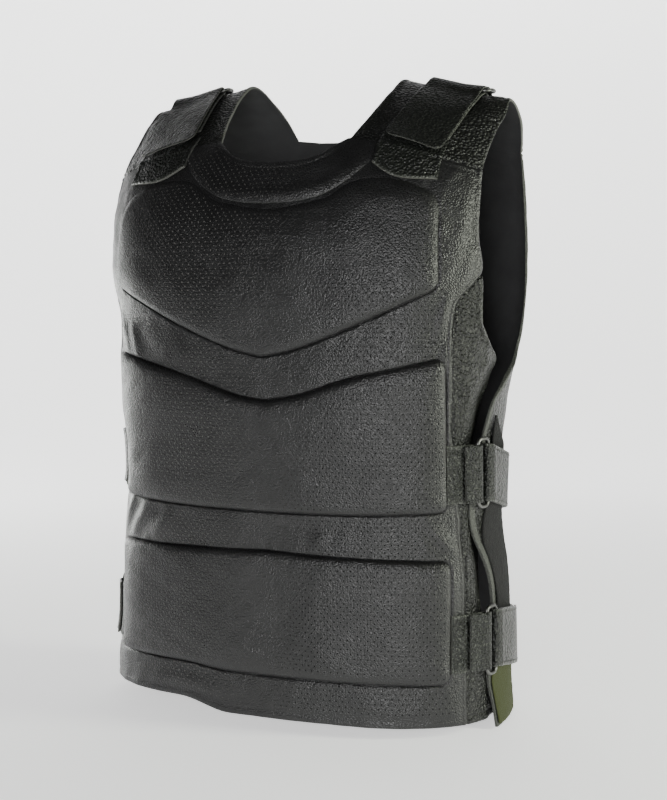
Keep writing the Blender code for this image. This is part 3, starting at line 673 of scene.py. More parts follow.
# %% Shape the front panel's surface
HEM_RAISED = 0.0004         # how far a turned hem stands out
DEEPEST = -0.0019           # no crease is deeper than this, so the leather stays thick enough
PRESSED = 0.0014            # how far the front sinks under the pads
CHANNEL = 0.0018            # how far outside a pad the leather starts to sink
PAD_FADE = 0.055            # the pressed channel ends this far below a soft top edge
BINDING_WIDTH = 0.0045
STITCH_LINE = 0.0057        # the stitches of a turned edge lie in a groove this far from it
TOPSTITCH = 0.0060          # the topstitching's distance from a seam
NOT_THERE = 1.0             # a distance so large that an edge has no effect


def bound_edge(distance, raised=0.0006):
    """A turned edge: raised, with a small groove along its stitches."""
    roll = raised * (1 - ease((distance - BINDING_WIDTH) / 0.0012))
    groove = 0.0006 * bell(distance - STITCH_LINE, 0.0009)
    round_off = 0.0007 * fade(distance, 0.0007)
    return roll - groove - round_off


def sewn_seam(distance):
    """Two panels meet: both roll down into the seam, and a row of topstitching runs beside it."""
    valley = 0.0011 * bell(distance, 0.0020)
    topstitch = 0.0005 * bell(distance - TOPSTITCH, 0.0010)
    ridge = 0.0005 * bell(distance - 0.0035, 0.0018)
    tucked = 1.2 * np.clip(-distance, 0, None)
    return ridge - valley - topstitch - tucked


def pad_channels(girth, rise):
    """The dip round each pad, and the puckers that run out of it."""
    total = 0
    for number, pad in enumerate(PADS.values()):
        inside = inside_pad(pad, girth, rise)
        depth = PRESSED
        if "top_slope" in pad:
            below_top = smooth_curve(pad["top"], np.abs(girth)) - rise
            depth = PRESSED * ease(below_top / PAD_FADE)
        total = total - depth * ease((inside + CHANNEL) / CHANNEL)
        pull = fade(-inside - 0.002, 0.007) * ease((-inside) / 0.003)
        total = total + 0.00040 * pull * waves(girth, rise * 0.3, 0.011, 40 + number)
    return total


def front_relief(girth, rise):
    from_neck = np.where(np.abs(girth) < NECKLINE[-1, 0], -above(NECKLINE, girth, rise), NOT_THERE)
    from_seam = np.where(np.abs(girth) > NECKLINE[-1, 0], -above(SHOULDER_SEAM, girth, rise), NOT_THERE)
    from_side = smooth_curve(FRONT_SIDE, rise) - np.abs(girth)
    from_arm = np.where(rise > GUSSET_TOP, from_side, NOT_THERE)
    from_gusset = np.where(rise > GUSSET_TOP, NOT_THERE, from_side)
    from_hem = rise - HEM
    relief = (bound_edge(from_neck) + bound_edge(from_arm) + sewn_seam(from_seam) + sewn_seam(from_gusset)
              + bound_edge(from_hem, HEM_RAISED) + pad_channels(girth, rise) + folds(girth, rise)
              + 0.0009 * waves(girth, rise, 0.085, 3) + 0.0003 * waves(girth, rise, 0.022, 4))
    return np.maximum(relief, DEEPEST)


EDGE_LINES = (0.0, 0.0004, 0.0011, 0.0022)
CREASE_LINES = (0.0, 0.0005, 0.0013, 0.0024)


def with_fine_ends(lines, close=EDGE_LINES):
    """Puts extra grid lines just inside both ends, so that edges can be rounded."""
    low, high = lines[0], lines[-1]
    inner = lines[(lines > low + close[-1] + 0.0005) & (lines < high - close[-1] - 0.0005)]
    return np.concatenate([low + np.array(close), inner, high - np.array(close)[::-1]])


def fine_shares(length, count, close=EDGE_LINES):
    """Shares of a length from 0 to 1, with the extra lines inside both ends."""
    return with_fine_ends(np.linspace(0, length, count), close) / length


def graded(length, spacing):
    """Shares of a length: even in its middle, and closer together at both ends."""
    return fine_shares(length, round(length / spacing) + 1, (*CREASE_LINES, 0.0038))


# %% [markdown]
# The creases round the pads are only 2 mm wide. A grid fine enough everywhere would be heavy, so
# its lines follow the pads' outlines instead and crowd together beside them.

# %% Cut and sew the front panel
PAD_ORDER = ("belly_pad", "waist_pad", "chest_pad")
PAD_SIDES = np.array([[PADS[name][end][-1, 1], PADS[name]["half_width"][width]]
                      for name in PAD_ORDER for end, width in (("bottom", 1), ("top", 0))])
FRONT_ROWS = np.array([
    # length of each stretch from the hem up, and the distance between its rows
    [0.038, 0.0022], [0.123, 0.0042], [0.043, 0.0020], [0.108, 0.0042],
    [0.050, 0.0022], [0.130, 0.0042], [0.040, 0.0024],
])
PADDED_HALF = 0.180         # about half the width of the padded middle, which sets its columns
SIDE_STRIP = 0.025          # about the width of the leather beside the pads


def front_keys(girth):
    """Heights that the rows follow: the hem, both edges of each pad, and the top."""
    edges = [smooth_curve(PADS[name][end], np.abs(girth))
             for name in PAD_ORDER for end in ("bottom", "top")]
    return np.stack([np.full(girth.shape, HEM), *edges, top_of_front(girth) - SEAM / 2])


def front_grid():
    """Girth and rise of each place. A few rounds settle which girth each line has at each height."""
    stretches = [start + graded(*row)[:-1] for start, row in enumerate(FRONT_ROWS)]
    down = np.concatenate([*stretches, [len(FRONT_ROWS)]])
    inner = with_fine_ends(np.linspace(-PADDED_HALF, PADDED_HALF, 129), CREASE_LINES) / PADDED_HALF
    outer = 1 + graded(SIDE_STRIP, 0.0022)[1:]
    across = np.concatenate([-outer[::-1], inner, outer])[None, :]
    lower = np.minimum(down.astype(int), len(FRONT_ROWS) - 1)
    share = (down - lower)[:, None]
    row = np.arange(len(down))
    girth = 0.1 * across + 0 * share
    for _ in range(24):
        keys = front_keys(girth)
        rise = keys[lower, row] + (keys[lower + 1, row] - keys[lower, row]) * share
        side = smooth_curve(FRONT_SIDE, rise) - SEAM / 2
        pad_side = np.interp(rise, PAD_SIDES[:, 0], PAD_SIDES[:, 1])
        reach = np.abs(across)
        beside = pad_side + (side - pad_side) * (reach - 1)
        girth = np.sign(across) * np.where(reach <= 1, reach * pad_side, beside)
    return girth, rise


girth, rise = front_grid()
relief = front_relief(girth, rise)
edge_distance = np.minimum(smooth_curve(FRONT_SIDE, rise) - np.abs(girth), top_of_front(girth) - rise)
front_panel = lay_sheet("front_leather", girth, rise, 0.0, SHELL + relief,
                        (FRONT_LEATHER, INNER_FACE, CUT_EDGE), 0.35 * fade(edge_distance, 0.0015))
print("front panel:", len(front_panel.data.polygons), "faces")

# %% [markdown]
# ## The pads
#
# Each pad is a foam sheet under the same leather. Its surface comes up quickly out of the crease
# and then swells gently, like a cushion that is held down all round. The leather puckers a little
# where it is sewn.

# %% Shape the pads
PAD_THICKNESS = 0.0052
PAD_STACK = 0.0007
PAD_FLOOR = SHELL - PRESSED + 0.0003
PAD_EDGE = PAD_FLOOR + 0.0005       # the height of the pad's outer face at its outline
PAD_LINES = (0.0, 0.0005, 0.0015, 0.003, 0.005, 0.0075, 0.0105)
PAD_COLUMNS, PAD_ROWS = 125, 58
PAD_ROUNDINGS = (
    # share of the thickness, and how far in from the outline it is reached
    (0.30, 0.0020), (0.38, 0.0085), (0.32, 0.0300),
)


def pad_profile(inside):
    """A quick rise out of the crease, then a soft crown."""
    return sum(share * (1 - (1 - np.clip(inside / reach, 0, 1)) ** 2.2) for share, reach in PAD_ROUNDINGS)


def pad_grid(pad):
    width = max(pad["half_width"])
    height = pad["top"][:, 1].mean() - pad["bottom"][:, 1].mean()
    columns = with_fine_ends(np.linspace(-width, width, PAD_COLUMNS), PAD_LINES) / width
    rows = fine_shares(height, PAD_ROWS, PAD_LINES)
    near = np.minimum(rows, 1 - rows) * height
    corner = PAD_CORNER - np.clip(near, 0, PAD_CORNER)
    narrowing = PAD_CORNER - np.sqrt(PAD_CORNER ** 2 - corner ** 2)
    half = half_width_at(pad, rows) - narrowing
    girth = half[:, None] * columns[None, :]
    low = smooth_curve(pad["bottom"], np.abs(girth))
    high = smooth_curve(pad["top"], np.abs(girth))
    return girth, low + (high - low) * rows[:, None]


def sew_pad(name, seed):
    pad = PADS[name]
    girth, rise = pad_grid(pad)
    inside = np.clip(inside_pad(pad, girth, rise), 0, None)
    profile = pad_profile(inside)
    pucker = fade(inside, 0.009) * ease(inside / 0.004) * waves(girth, rise * 0.4, 0.010, seed)
    swell = 0.0009 * waves(girth, rise, 0.095, seed + 1) + 0.00022 * waves(girth, rise, 0.026, seed + 2)
    full = SHELL + PAD_STACK + PAD_THICKNESS
    lift = PAD_EDGE + (full - PAD_EDGE) * profile + 0.00032 * pucker + profile * swell
    return lay_sheet(name + "_leather", girth, rise, PAD_FLOOR, lift,
                     (FRONT_LEATHER, INNER_FACE, FRONT_LEATHER))


pads = {name: sew_pad(name, seed) for name, seed in zip(PADS, (60, 67, 74))}
for name, made in pads.items():
    print(name, len(made.data.polygons), "faces")

# %% [markdown]
# ## The neck yoke
#
# A crescent of perforated leather round the neckline. Its lower edge is turned under and rolls
# over before it meets the chest, which is what catches the light.

# %% Sew the neck yoke
YOKE_LEATHER = 0.0016
YOKE_DEPTH = 0.042          # about, from its lower edge to the neckline


def neck_yoke_grid():
    girth = with_fine_ends(np.linspace(-YOKE_END, YOKE_END, 90))
    high = top_of_front(girth) - SEAM / 2
    low = smooth_curve(YOKE_SEAM, np.abs(girth))
    shares = fine_shares(YOKE_DEPTH, 24, (0.0, 0.0003, 0.0008, 0.0016))
    rise = low + (high - low) * shares[:, None]
    return np.broadcast_to(girth, rise.shape), rise


girth, rise = neck_yoke_grid()
from_seam = above(YOKE_SEAM, girth, rise)
from_neck = np.where(np.abs(girth) < NECKLINE[-1, 0], -above(NECKLINE, girth, rise), NOT_THERE)
base = SHELL + PAD_STACK
roll = 0.0013 * bell(from_seam - 0.0085, 0.0060) * close_to(girth, 0, 0.075)
lift = (base + YOKE_LEATHER + roll + bound_edge(from_neck) - 0.0013 * fade(from_seam, 0.0016)
        + 0.0003 * waves(girth, rise, 0.030, 91))
neck_yoke = lay_sheet("neck_yoke_leather", girth, rise, base, lift,
                      (FRONT_LEATHER, INNER_FACE, CUT_EDGE), 0.5 * fade(from_neck, 0.0012))
print("yoke:", len(neck_yoke.data.polygons), "faces")

# %% [markdown]
# ## Over the shoulders
#
# The shoulder panels lie across the ridge, where heights double back. Distances along the
# shoulder are measured once, from the ridge, so that a panel or a strap can be laid by how far it
# runs over the shoulder.

# %% Measure the way over the shoulder
SHOULDER_GIRTHS = np.linspace(0.07, 0.22, 31)
SHOULDER_RISES = np.linspace(RIDGE - 0.12, RIDGE + 0.12, 241)
SHOULDER_RUNS = np.linspace(-0.170, 0.170, 341)


def measured_runs(girth):
    run = running_length(bare_point(girth, SHOULDER_RISES))
    return run - np.interp(RIDGE, SHOULDER_RISES, run)


RUN_TABLE = np.array([measured_runs(girth) for girth in SHOULDER_GIRTHS])
RISE_TABLE = np.array([np.interp(SHOULDER_RUNS, runs, SHOULDER_RISES) for runs in RUN_TABLE])


def read_table(table, girth, other, lines):
    """Reads a table of rows along the shoulder between its lines."""
    girth, other = np.broadcast_arrays(girth, other)
    down, over = (np.clip((value - at[0]) / (at[1] - at[0]), 0, len(at) - 1.001)
                  for value, at in ((girth, SHOULDER_GIRTHS), (other, lines)))
    row, column = down.astype(int), over.astype(int)
    down, over = down - row, over - column
    upper = table[row, column] * (1 - over) + table[row, column + 1] * over
    lower = table[row + 1, column] * (1 - over) + table[row + 1, column + 1] * over
    return upper * (1 - down) + lower * down


def run_at(girth, rise):
    return read_table(RUN_TABLE, girth, rise, SHOULDER_RISES)


def rise_at(girth, run):
    return read_table(RISE_TABLE, girth, run, SHOULDER_RUNS)


# %% Cut the shoulder panels
PANEL_LENGTH = 0.19         # about, from the front seam to the back seam
PANEL_WIDTH = 0.125         # about, from the neck to the arm


def shoulder_panel_grid():
    along, across = np.meshgrid(fine_shares(PANEL_LENGTH, 62), fine_shares(PANEL_WIDTH, 44), indexing="ij")
    back_rise = 2 * RIDGE - BACK_SEAM - SEAM / 2
    girth = 0.08 + 0.12 * across
    for _ in range(20):
        front_run = run_at(girth, top_of_front(girth) + SEAM / 2)
        back_run = run_at(girth, back_rise)
        rise = rise_at(girth, front_run + (back_run - front_run) * along)
        inner = smooth_curve(NECK_EDGE, rise)
        outer = smooth_curve(ARM_EDGE, rise)
        girth = inner + (outer - inner) * across
    return girth, rise, along, across


girth, rise, along, across = shoulder_panel_grid()
from_neck, from_arm = across * PANEL_WIDTH, (1 - across) * PANEL_WIDTH
from_front, from_back = along * PANEL_LENGTH, (1 - along) * PANEL_LENGTH
relief = (bound_edge(from_neck) + bound_edge(from_arm) + sewn_seam(from_front) + sewn_seam(from_back)
          + 0.0006 * waves(girth, rise, 0.050, 17) + 0.0002 * waves(girth, rise, 0.016, 18))
wear_and_painted_reflection = 0.8 * fade(np.minimum(from_neck, from_arm), 0.0010)
shoulder_panels = {label: lay_sheet(f"shoulder_{label}_leather", girth, rise, 0.0, SHELL + relief,
                                    (PEBBLED_LEATHER, INNER_FACE, CUT_EDGE), wear_and_painted_reflection, side)
                   for label, side in SIDES.items()}
print("shoulder panels:", len(shoulder_panels))

# %% [markdown]
# ## The side gussets
#
# Pebbled leather under the arms. It is sewn to the front panel's side and turns in behind the
# back panel's edge, so its rear half falls into shade.

# %% Cut the side gussets
GUSSET_EDGE = -0.30         # above this height the rear edge is the turned edge of the armhole


def gusset_grid():
    rise = with_fine_ends(np.linspace(HEM, GUSSET_TOP, 150))[:, None]
    front = smooth_curve(FRONT_SIDE, rise) + SEAM / 2
    turn, rear, depth = (straight_lines(GUSSET, rise, column) for column in (1, 2, 3))
    girth = front + (rear - front) * np.linspace(0, 1, 26)[None, :]
    lift = -depth * ease((girth - turn) / (rear - turn))
    return girth, np.broadcast_to(rise, girth.shape), lift, girth - front


girth, rise, lift, from_front = gusset_grid()
from_rear = smooth_curve(GUSSET, rise, column=2) - girth
from_arm = np.where(rise > GUSSET_EDGE, from_rear, NOT_THERE)
relief = (sewn_seam(from_front) + bound_edge(from_arm) + bound_edge(rise - HEM, HEM_RAISED)
          + 0.0007 * waves(girth, rise, 0.045, 23) + 0.0003 * waves(girth, rise * 0.5, 0.014, 24))
wear_and_painted_reflection = 0.7 * fade(from_arm, 0.0010)
gussets = {label: lay_sheet(f"gusset_{label}_leather", girth, rise, lift, lift + SHELL + relief,
                            (PEBBLED_LEATHER, INNER_FACE, CUT_EDGE), wear_and_painted_reflection, side)
           for label, side in SIDES.items()}
print("gussets:", len(gussets))

# %% [markdown]
# ## The back panel
#
# One pebbled sheet whose side edges are left open. They are bound with a pale tape about 6 mm
# wide, which shows between the side straps. Near the arms the panel stands away from the body.

# %% Cut the back panel
TAPE_WIDTH = 0.0065
TAPE_RAISED = 0.0004
TAPE_SLOT = 3               # the tape's place among the back panel's finishes
BACK_HALF = 0.29            # about half the back panel's width
BACK_NECK_END = 0.0785


def back_grid():
    even = with_fine_ends(np.linspace(-BACK_HALF, BACK_HALF, 150)) / BACK_HALF
    columns = np.sign(even) * np.abs(even) ** 0.93
    side_top = BACK_SEAM - SEAM / 2
    heights = with_fine_ends(np.linspace(BACK_HEM, side_top, 175))
    shares = (heights - BACK_HEM) / (side_top - BACK_HEM)
    half = smooth_curve(BACK_SIDE, heights)
    girth = half[:, None] * columns[None, :]
    neck_drop = straight_lines(BACK_NECK, np.abs(girth[-1])) - BACK_SEAM
    height = heights[:, None] + neck_drop[None, :] * shares[:, None] ** 5
    return girth, height


girth, height = back_grid()
from_side = smooth_curve(BACK_SIDE, height) - np.abs(girth)
from_top = straight_lines(BACK_NECK, np.abs(girth)) - height
from_neck = np.where(np.abs(girth) < BACK_NECK_END, from_top, NOT_THERE)
from_seam = np.where(np.abs(girth) < BACK_NECK_END, NOT_THERE, from_top)
tape = TAPE_RAISED * (1 - ease((from_side - TAPE_WIDTH) / 0.0006)) - 0.0005 * fade(from_side, 0.0004)
relief = (tape + bound_edge(from_neck) + sewn_seam(from_seam) + bound_edge(height - BACK_HEM, HEM_RAISED)
          + 0.0011 * waves(girth, height, 0.110, 31) + 0.0003 * waves(girth, height, 0.030, 32))
flare = back_flare(girth, height)
back_panel = lay_sheet("back_leather", girth, 2 * RIDGE - height, flare, flare + SHELL + relief,
                       (PEBBLED_LEATHER, INNER_FACE, BINDING, BINDING), height=height)
face_middle = (from_side[:-1, :-1] + from_side[1:, 1:]) / 2
slots = np.zeros(len(back_panel.data.polygons), np.int32)
back_panel.data.polygons.foreach_get("material_index", slots)
taped = face_middle.ravel() < TAPE_WIDTH
slots[:len(taped)][taped] = TAPE_SLOT
back_panel.data.polygons.foreach_set("material_index", slots)
print("back panel:", len(back_panel.data.polygons), "faces,", int(taped.sum()), "of them bound with tape")

# %% [markdown]
# ## Loop tape
#
# The soft half of a hook-and-loop fastening, sewn to the back beside its open edge. The side
# straps grip it. Its pile is a rough, matt surface that swallows light. Below the lower strap its
# colour is painted olive, a painted reflection.

# %% Lay the loop tape
LOOP_TAPE = 0.0015
LOOP_STACK = 0.0010
LOOP_WIDTH = 0.055          # about


def loop_tape(label, side):
    height = with_fine_ends(np.linspace(*LOOP_FRONT[[0, -1], 0], 130))[:, None]
    front = smooth_curve(LOOP_FRONT, height)
    rear = straight_lines(LOOP_REAR, height)
    girth = front + (rear - front) * fine_shares(LOOP_WIDTH, 28)[None, :]
    height = np.broadcast_to(height, girth.shape)
    low = back_flare(girth, height) + SHELL + LOOP_STACK
    rough = np.random.default_rng(70).uniform(-0.0002, 0.0003, girth.shape)
    edge = np.minimum(np.abs(front - girth), np.abs(girth - rear))
    high = low + LOOP_TAPE + rough - 0.0007 * fade(edge, 0.0008)
    # Below the lower strap the tape is painted olive, a painted reflection carried by the wear attribute.
    return lay_sheet(f"loop_tape_{label}", girth, 2 * RIDGE - height, low, high, (LOOP_PILE,) * 3,
                     beyond(-height, 0.585, 0.012), side, height)


loop_tapes = {label: loop_tape(label, side) for label, side in SIDES.items()}
print("loop tapes:", len(loop_tapes))

# %% [markdown]
# ## Straps, tabs and rings
#
# A strap passes through a wire ring and folds back on itself. Its path is drawn in two numbers,
# the run along the strap and the lift from the body, and then swept across its width. The free
# end has rounded corners, and the long edges are rounded and lighter, as cut leather is.

# %% Fold a strap through a ring
WIRE_RADIUS = 0.0020
RING_BARS_APART = 0.016
RING_LENGTH = 0.066
RING_CORNER = 0.0055
WIRE_PLAY = 0.0004          # room between a wire and the strap that goes round it
FOLD_GAP = 0.0009           # room between the two layers of a strap
STACK = 0.0005              # room between the panels and the straps that lie on them
FOLD_RADIUS = WIRE_RADIUS + WIRE_PLAY + LEATHER / 2
UNDER_LAYER = SHELL + STACK + LEATHER / 2
OVER_LAYER = UNDER_LAYER + LEATHER + FOLD_GAP
EYE = UNDER_LAYER + FOLD_RADIUS         # the lift of a wire's middle
FOLD_RUN = 0.014            # the two layers meet this far from the bar
END_CORNER = 0.009
EDGE_ROUNDING = 0.0011
STRAP_STITCH = 0.0035       # the stitches' distance from the strap's edge
HALF_SHARES = np.array([0.2, 0.4, 0.6, 0.78, 0.86, 0.92, 0.965, 0.99, 1])
STRAP_COLUMNS = np.concatenate([-HALF_SHARES[::-1], [0], HALF_SHARES])
STRAP_SEAMS = []


def strap_line(bar, sewn_end, loose_end, gap):
    """Run and lift along the middle of the leather, and how far each place is from the loose end."""
    onward = math.copysign(1, bar - sewn_end)
    together = bar - onward * FOLD_RUN
    crest, over = EYE + FOLD_RADIUS, OVER_LAYER + gap
    steps = max(2, int(abs(bar - sewn_end) / 0.0022))
    line = [(sewn_end + (bar - sewn_end) * step / steps, UNDER_LAYER) for step in range(steps)]
    for step in range(17):
        angle = (step / 16 - 0.5) * math.pi
        line.append((bar + onward * FOLD_RADIUS * math.cos(angle), EYE + FOLD_RADIUS * math.sin(angle)))
    for share in np.arange(1, 6) / 6:
        line.append((bar + (together - bar) * share, crest + (over - crest) * float(ease(share))))
    steps = max(2, int(abs(loose_end - together) / 0.0018))
    line += [(together + (loose_end - together) * step / steps, over) for step in range(steps - 1)]
    line += [(loose_end + onward * short, over) for short in (0.0024, 0.0012, 0.0005, 0.0)]
    line = np.array(line)
    length = running_length(line)
    return line, length[-1] - length


def thinned(distance):
    """The share of the thickness left at a distance from a rounded edge."""
    return np.sqrt(np.clip(1 - np.clip(1 - distance / EDGE_ROUNDING, 0, 1) ** 2, 0.12, 1))


def fold_strap(name, place, width, bar, sewn_end, loose_end, gap=0.0, curl=0.0, corner=END_CORNER):
    """A strap from sewn_end to a ring's bar, round it and back to loose_end."""
    line, from_end = strap_line(bar, sewn_end, loose_end, gap)
    line[:, 1] += curl * fade(from_end, 0.010)
    direction = np.gradient(line, axis=0)
    direction /= np.linalg.norm(direction, axis=1, keepdims=True)
    normal = np.stack([-direction[:, 1], direction[:, 0]], axis=1)
    rounding = corner - np.clip(from_end, 0, corner)
    half = width / 2 - (corner - np.sqrt(np.clip(corner ** 2 - rounding ** 2, 0, None)))
    edge = (1 - np.abs(STRAP_COLUMNS)) * width / 2
    stitched = 1 - 0.10 * bell(edge - STRAP_STITCH, 0.0009)
    across = half[:, None] * STRAP_COLUMNS[None, :]
    thick = LEATHER / 2 * thinned(edge)[None, :] * thinned(from_end)[:, None]
    upper, lower = (place(line[:, :1] + normal[:, :1] * offset, across, line[:, 1:] + normal[:, 1:] * offset)
                    for offset in (thick * stitched, -thick))
    outer_run, outer_lift = (line + normal * (LEATHER / 2 + 0.0001)).T
    for sign in (1, -1):
        STRAP_SEAMS.append(place(outer_run, sign * (half - STRAP_STITCH), outer_lift))
    wear_and_painted_reflection = np.maximum(0.75 * fade(edge, 0.0012)[None, :], 0.6 * fade(from_end, 0.0014)[:, None])
    return closed_sheet(name, upper, lower, across, from_end[:, None] + 2.0,
                        (STRAP_LEATHER, STRAP_LEATHER, CUT_EDGE), wear_and_painted_reflection)


# %% Bend a wire ring
RING_QUARTERS = np.array([[1, 1], [-1, 1], [-1, -1], [1, -1]])


def bend_ring(name, place, sides=14, corner_steps=9, straight_steps=14):
    """A rounded rectangle of wire. place says where it lies, by run, across and lift."""
    centres = RING_QUARTERS * (np.array([RING_BARS_APART, RING_LENGTH]) / 2 - RING_CORNER)
    corners = []
    for quarter, centre in enumerate(centres):
        angle = (quarter + np.arange(corner_steps + 1) / corner_steps) * math.pi / 2
        corners.append(centre + RING_CORNER * np.stack([np.cos(angle), np.sin(angle)], axis=-1))
    path = []
    for bend, following in zip(corners, corners[1:] + corners[:1]):
        straight = np.arange(1, straight_steps)[:, None] / straight_steps
        path += [*bend, *(bend[-1] + (following[0] - bend[-1]) * straight)]
    run, across = np.array(path).T
    centre = place(run, across, np.full(len(run), EYE))
    out = place(run, across, np.full(len(run), EYE + 0.001)) - centre
    out /= np.linalg.norm(out, axis=1, keepdims=True)
    aside = np.cross(np.roll(centre, -1, axis=0) - np.roll(centre, 1, axis=0), out)
    aside /= np.linalg.norm(aside, axis=1, keepdims=True)
    angle = np.arange(sides) * 2 * math.pi / sides
    spoke = out[:, None] * np.cos(angle)[:, None] + aside[:, None] * np.sin(angle)[:, None]
    vertices = (centre[:, None] + WIRE_RADIUS * spoke).reshape(-1, 3)
    grid = np.arange(len(vertices)).reshape(-1, sides)
    around, beside = np.roll(grid, -1, axis=0), np.roll(grid, -1, axis=1)
    faces = np.stack([grid, beside, np.roll(around, -1, axis=1), around], axis=-1).reshape(-1, 4)
    mesh, _ = outward_mesh(name, vertices, faces, [RING_WIRE])
    return put_in_scene(name, mesh)


# %% Where the fastenings lie
STRAP_GIRTH = 0.1520        # the middle line of the shoulder straps, at the ridge and behind it
STRAP_LEAN = 0.165          # how far that line moves inwards for each metre towards the front
STRAP_WIDTH = 0.058
SIDE_STRAP_WIDTH = 0.056
ANCHOR_WIDTH = 0.050
SIDE_STRAPS = {
    # height of the middle, girths of the ring and of the tab's front end, how far the strap falls
    # for each metre behind the ring, and girth of its rear end
    "upper": {"height": -0.397, "ring": 0.2225, "tab": 0.181, "fall": 0.28, "end": 0.314},
    "lower": {"height": -0.567, "ring": 0.2315, "tab": 0.184, "fall": 0.16, "end": 0.322},
}
ROW_LENGTHS = np.array([running_length(section_point(ANGLES, np.full(ANGLES.shape, level_at(rise))))[-1]
                        for rise in GRID_RISES])


def half_girth(height):
    """Distance from the centre front to the centre back."""
    return np.interp(height, GRID_RISES, ROW_LENGTHS)


def shoulder_place(side):
    """Says where a point of a shoulder strap lies. Run counts backwards from the ridge."""
    def place(run, across, lift):
        run, across, lift = np.broadcast_arrays(run, across, lift)
        girth = STRAP_GIRTH + STRAP_LEAN * np.minimum(run, 0) + across
        return on_body(girth, rise_at(girth, run), lift, side)
    return place


def side_place(strap, side, raised=0.0):
    """Says where a point of a side strap lies. Run counts backwards from the ring's middle."""
    def place(run, across, lift):
        run, across, lift = np.broadcast_arrays(run, across, lift)
        girth = strap["ring"] + run
        behind = np.maximum(run - RING_BARS_APART / 2, 0)
        height = strap["height"] - strap["fall"] * behind + across
        flare = back_flare(half_girth(height) - girth, height)
        lift = lift + raised * np.clip(behind / 0.006, 0, 1)
        return on_body(girth, height, lift + flare * np.clip(behind / FOLD_RUN, 0, 1), side)
    return place


# %% Make every strap, anchor, tab and ring
OVER_TAPE = LOOP_TAPE + LOOP_STACK
half_ring = RING_BARS_APART / 2
free_end = float(run_at(STRAP_GIRTH, -0.064))
sewn_end = float(run_at(STRAP_GIRTH, -0.044))
straps, rings = {}, {}


def add_strap(name, *path, **options):
    straps[name] = fold_strap(name + "_leather", *path, **options)


for label, side in SIDES.items():
    place = shoulder_place(side)
    add_strap(f"shoulder_strap_{label}", place, STRAP_WIDTH, -half_ring, sewn_end, free_end,
              gap=0.0016, curl=0.0012)
    add_strap(f"shoulder_anchor_{label}", place, ANCHOR_WIDTH, half_ring, half_ring + 0.034,
              half_ring + 0.027, corner=0.003)
    rings[f"shoulder_ring_{label}"] = bend_ring(f"shoulder_wire_{label}", place)
    for level, strap in SIDE_STRAPS.items():
        start, end = strap["tab"] - strap["ring"], strap["end"] - strap["ring"]
        place = side_place(strap, side)
        add_strap(f"side_tab_{label}_{level}", place, SIDE_STRAP_WIDTH, -half_ring, start, start + 0.018,
                  corner=0.0015)
        add_strap(f"side_strap_{label}_{level}", side_place(strap, side, OVER_TAPE), SIDE_STRAP_WIDTH,
                  half_ring, end, end - 0.006, corner=0.004)
        rings[f"side_ring_{label}_{level}"] = bend_ring(f"side_wire_{label}_{level}", place)
print("straps and tabs:", len(straps), "rings:", len(rings))

# %% [markdown]
# ## The shoulder tabs
#
# A stitched patch at the foot of each shoulder strap. Its lower edge curves, and its cut edge
# stands up enough to catch a line of light.

# %% Cut the shoulder tabs
TAB_BOTTOM = np.array([[0.1015, -0.086], [0.120, -0.097], [0.166, -0.0965]])
TAB_TOP = -0.050
TAB_SIDES = (0.1015, 0.166)
TAB_LENGTH = 0.045          # about


def shoulder_tab(label, side):
    girth = with_fine_ends(np.linspace(*TAB_SIDES, 42))[None, :]
    bottom = smooth_curve(TAB_BOTTOM, girth)
    rise = bottom + (TAB_TOP - bottom) * fine_shares(TAB_LENGTH, 30)[:, None]
    girth = np.broadcast_to(girth, rise.shape)
    from_side = np.minimum(girth - TAB_SIDES[0], TAB_SIDES[1] - girth)
    from_bottom = rise - bottom
    edge = np.minimum(from_side, from_bottom)
    over_seam = 0.0010 * bell(rise - straight_lines(SHOULDER_SEAM, girth), 0.0022)
    low = SHELL + STACK
    lift = low + LEATHER + bound_edge(edge, 0.0003) + over_seam + 0.0003 * waves(girth, rise, 0.02, 83)
    return lay_sheet(f"shoulder_tab_{label}_leather", girth, rise, low, lift,
                     (STRAP_LEATHER, INNER_FACE, CUT_EDGE), fade(from_bottom, 0.0012), side)


tabs = {f"shoulder_tab_{label}": shoulder_tab(label, side) for label, side in SIDES.items()}
print("shoulder tabs:", len(tabs))

# %% [markdown]
# ## Punched holes
#
# The front leather is perforated on a staggered lattice. A node tree lays a flat grid of points
# in the pattern's own coordinates, shifts every other row by half a pitch, and looks up where each
# point falls on the finished leather. Points that fall outside, or where the leather isn't
# punched, are dropped. Each of the rest gets a small closed cone that points into the leather. Its
# flat end lies just above the surface and is seen as a hole. Its colour is painted shade, dark on
# the wearer's left, and painted pale light on the right, where the leather is darkest.

# %% The tree that punches holes
ROW = 0.0044                # the distance between two rows of holes
HOLE_MIDDLE = -0.352        # the front's middle row of holes; the other pieces keep to its rows


def new_tree(name, inputs):
    """A node tree with one geometry in and out, and named inputs."""
    tree = bpy.data.node_groups.new(name, "GeometryNodeTree")
    tree.interface.new_socket("Geometry", in_out="INPUT", socket_type="NodeSocketGeometry")
    for label, kind, value in inputs:
        socket = tree.interface.new_socket(label, in_out="INPUT", socket_type=kind)
        if value is not None:
            socket.default_value = value
    tree.interface.new_socket("Geometry", in_out="OUTPUT", socket_type="NodeSocketGeometry")
    return tree, tree.nodes.new("NodeGroupInput").outputs


def finish_tree(tree, geometry, finish):
    """Real geometry and one finish at the end, because the export drops instances."""
    real = add_node(tree, "GeometryNodeRealizeInstances", {"Geometry": geometry})
    painted = add_node(tree, "GeometryNodeSetMaterial", {"Geometry": real, "Material": finish})
    add_node(tree, "NodeGroupOutput", {0: painted})


def sample_at(tree, mesh, kind, value, uv, spot):
    """The value of a mesh where its UV map passes through a spot, and whether it does."""
    node = add_node(tree, "GeometryNodeSampleUVSurface", data_type=kind)
    for socket, source in zip(node.inputs, (mesh, value, uv, spot)):
        wire(tree, socket, source)
    return node.outputs[0], node.outputs[1]


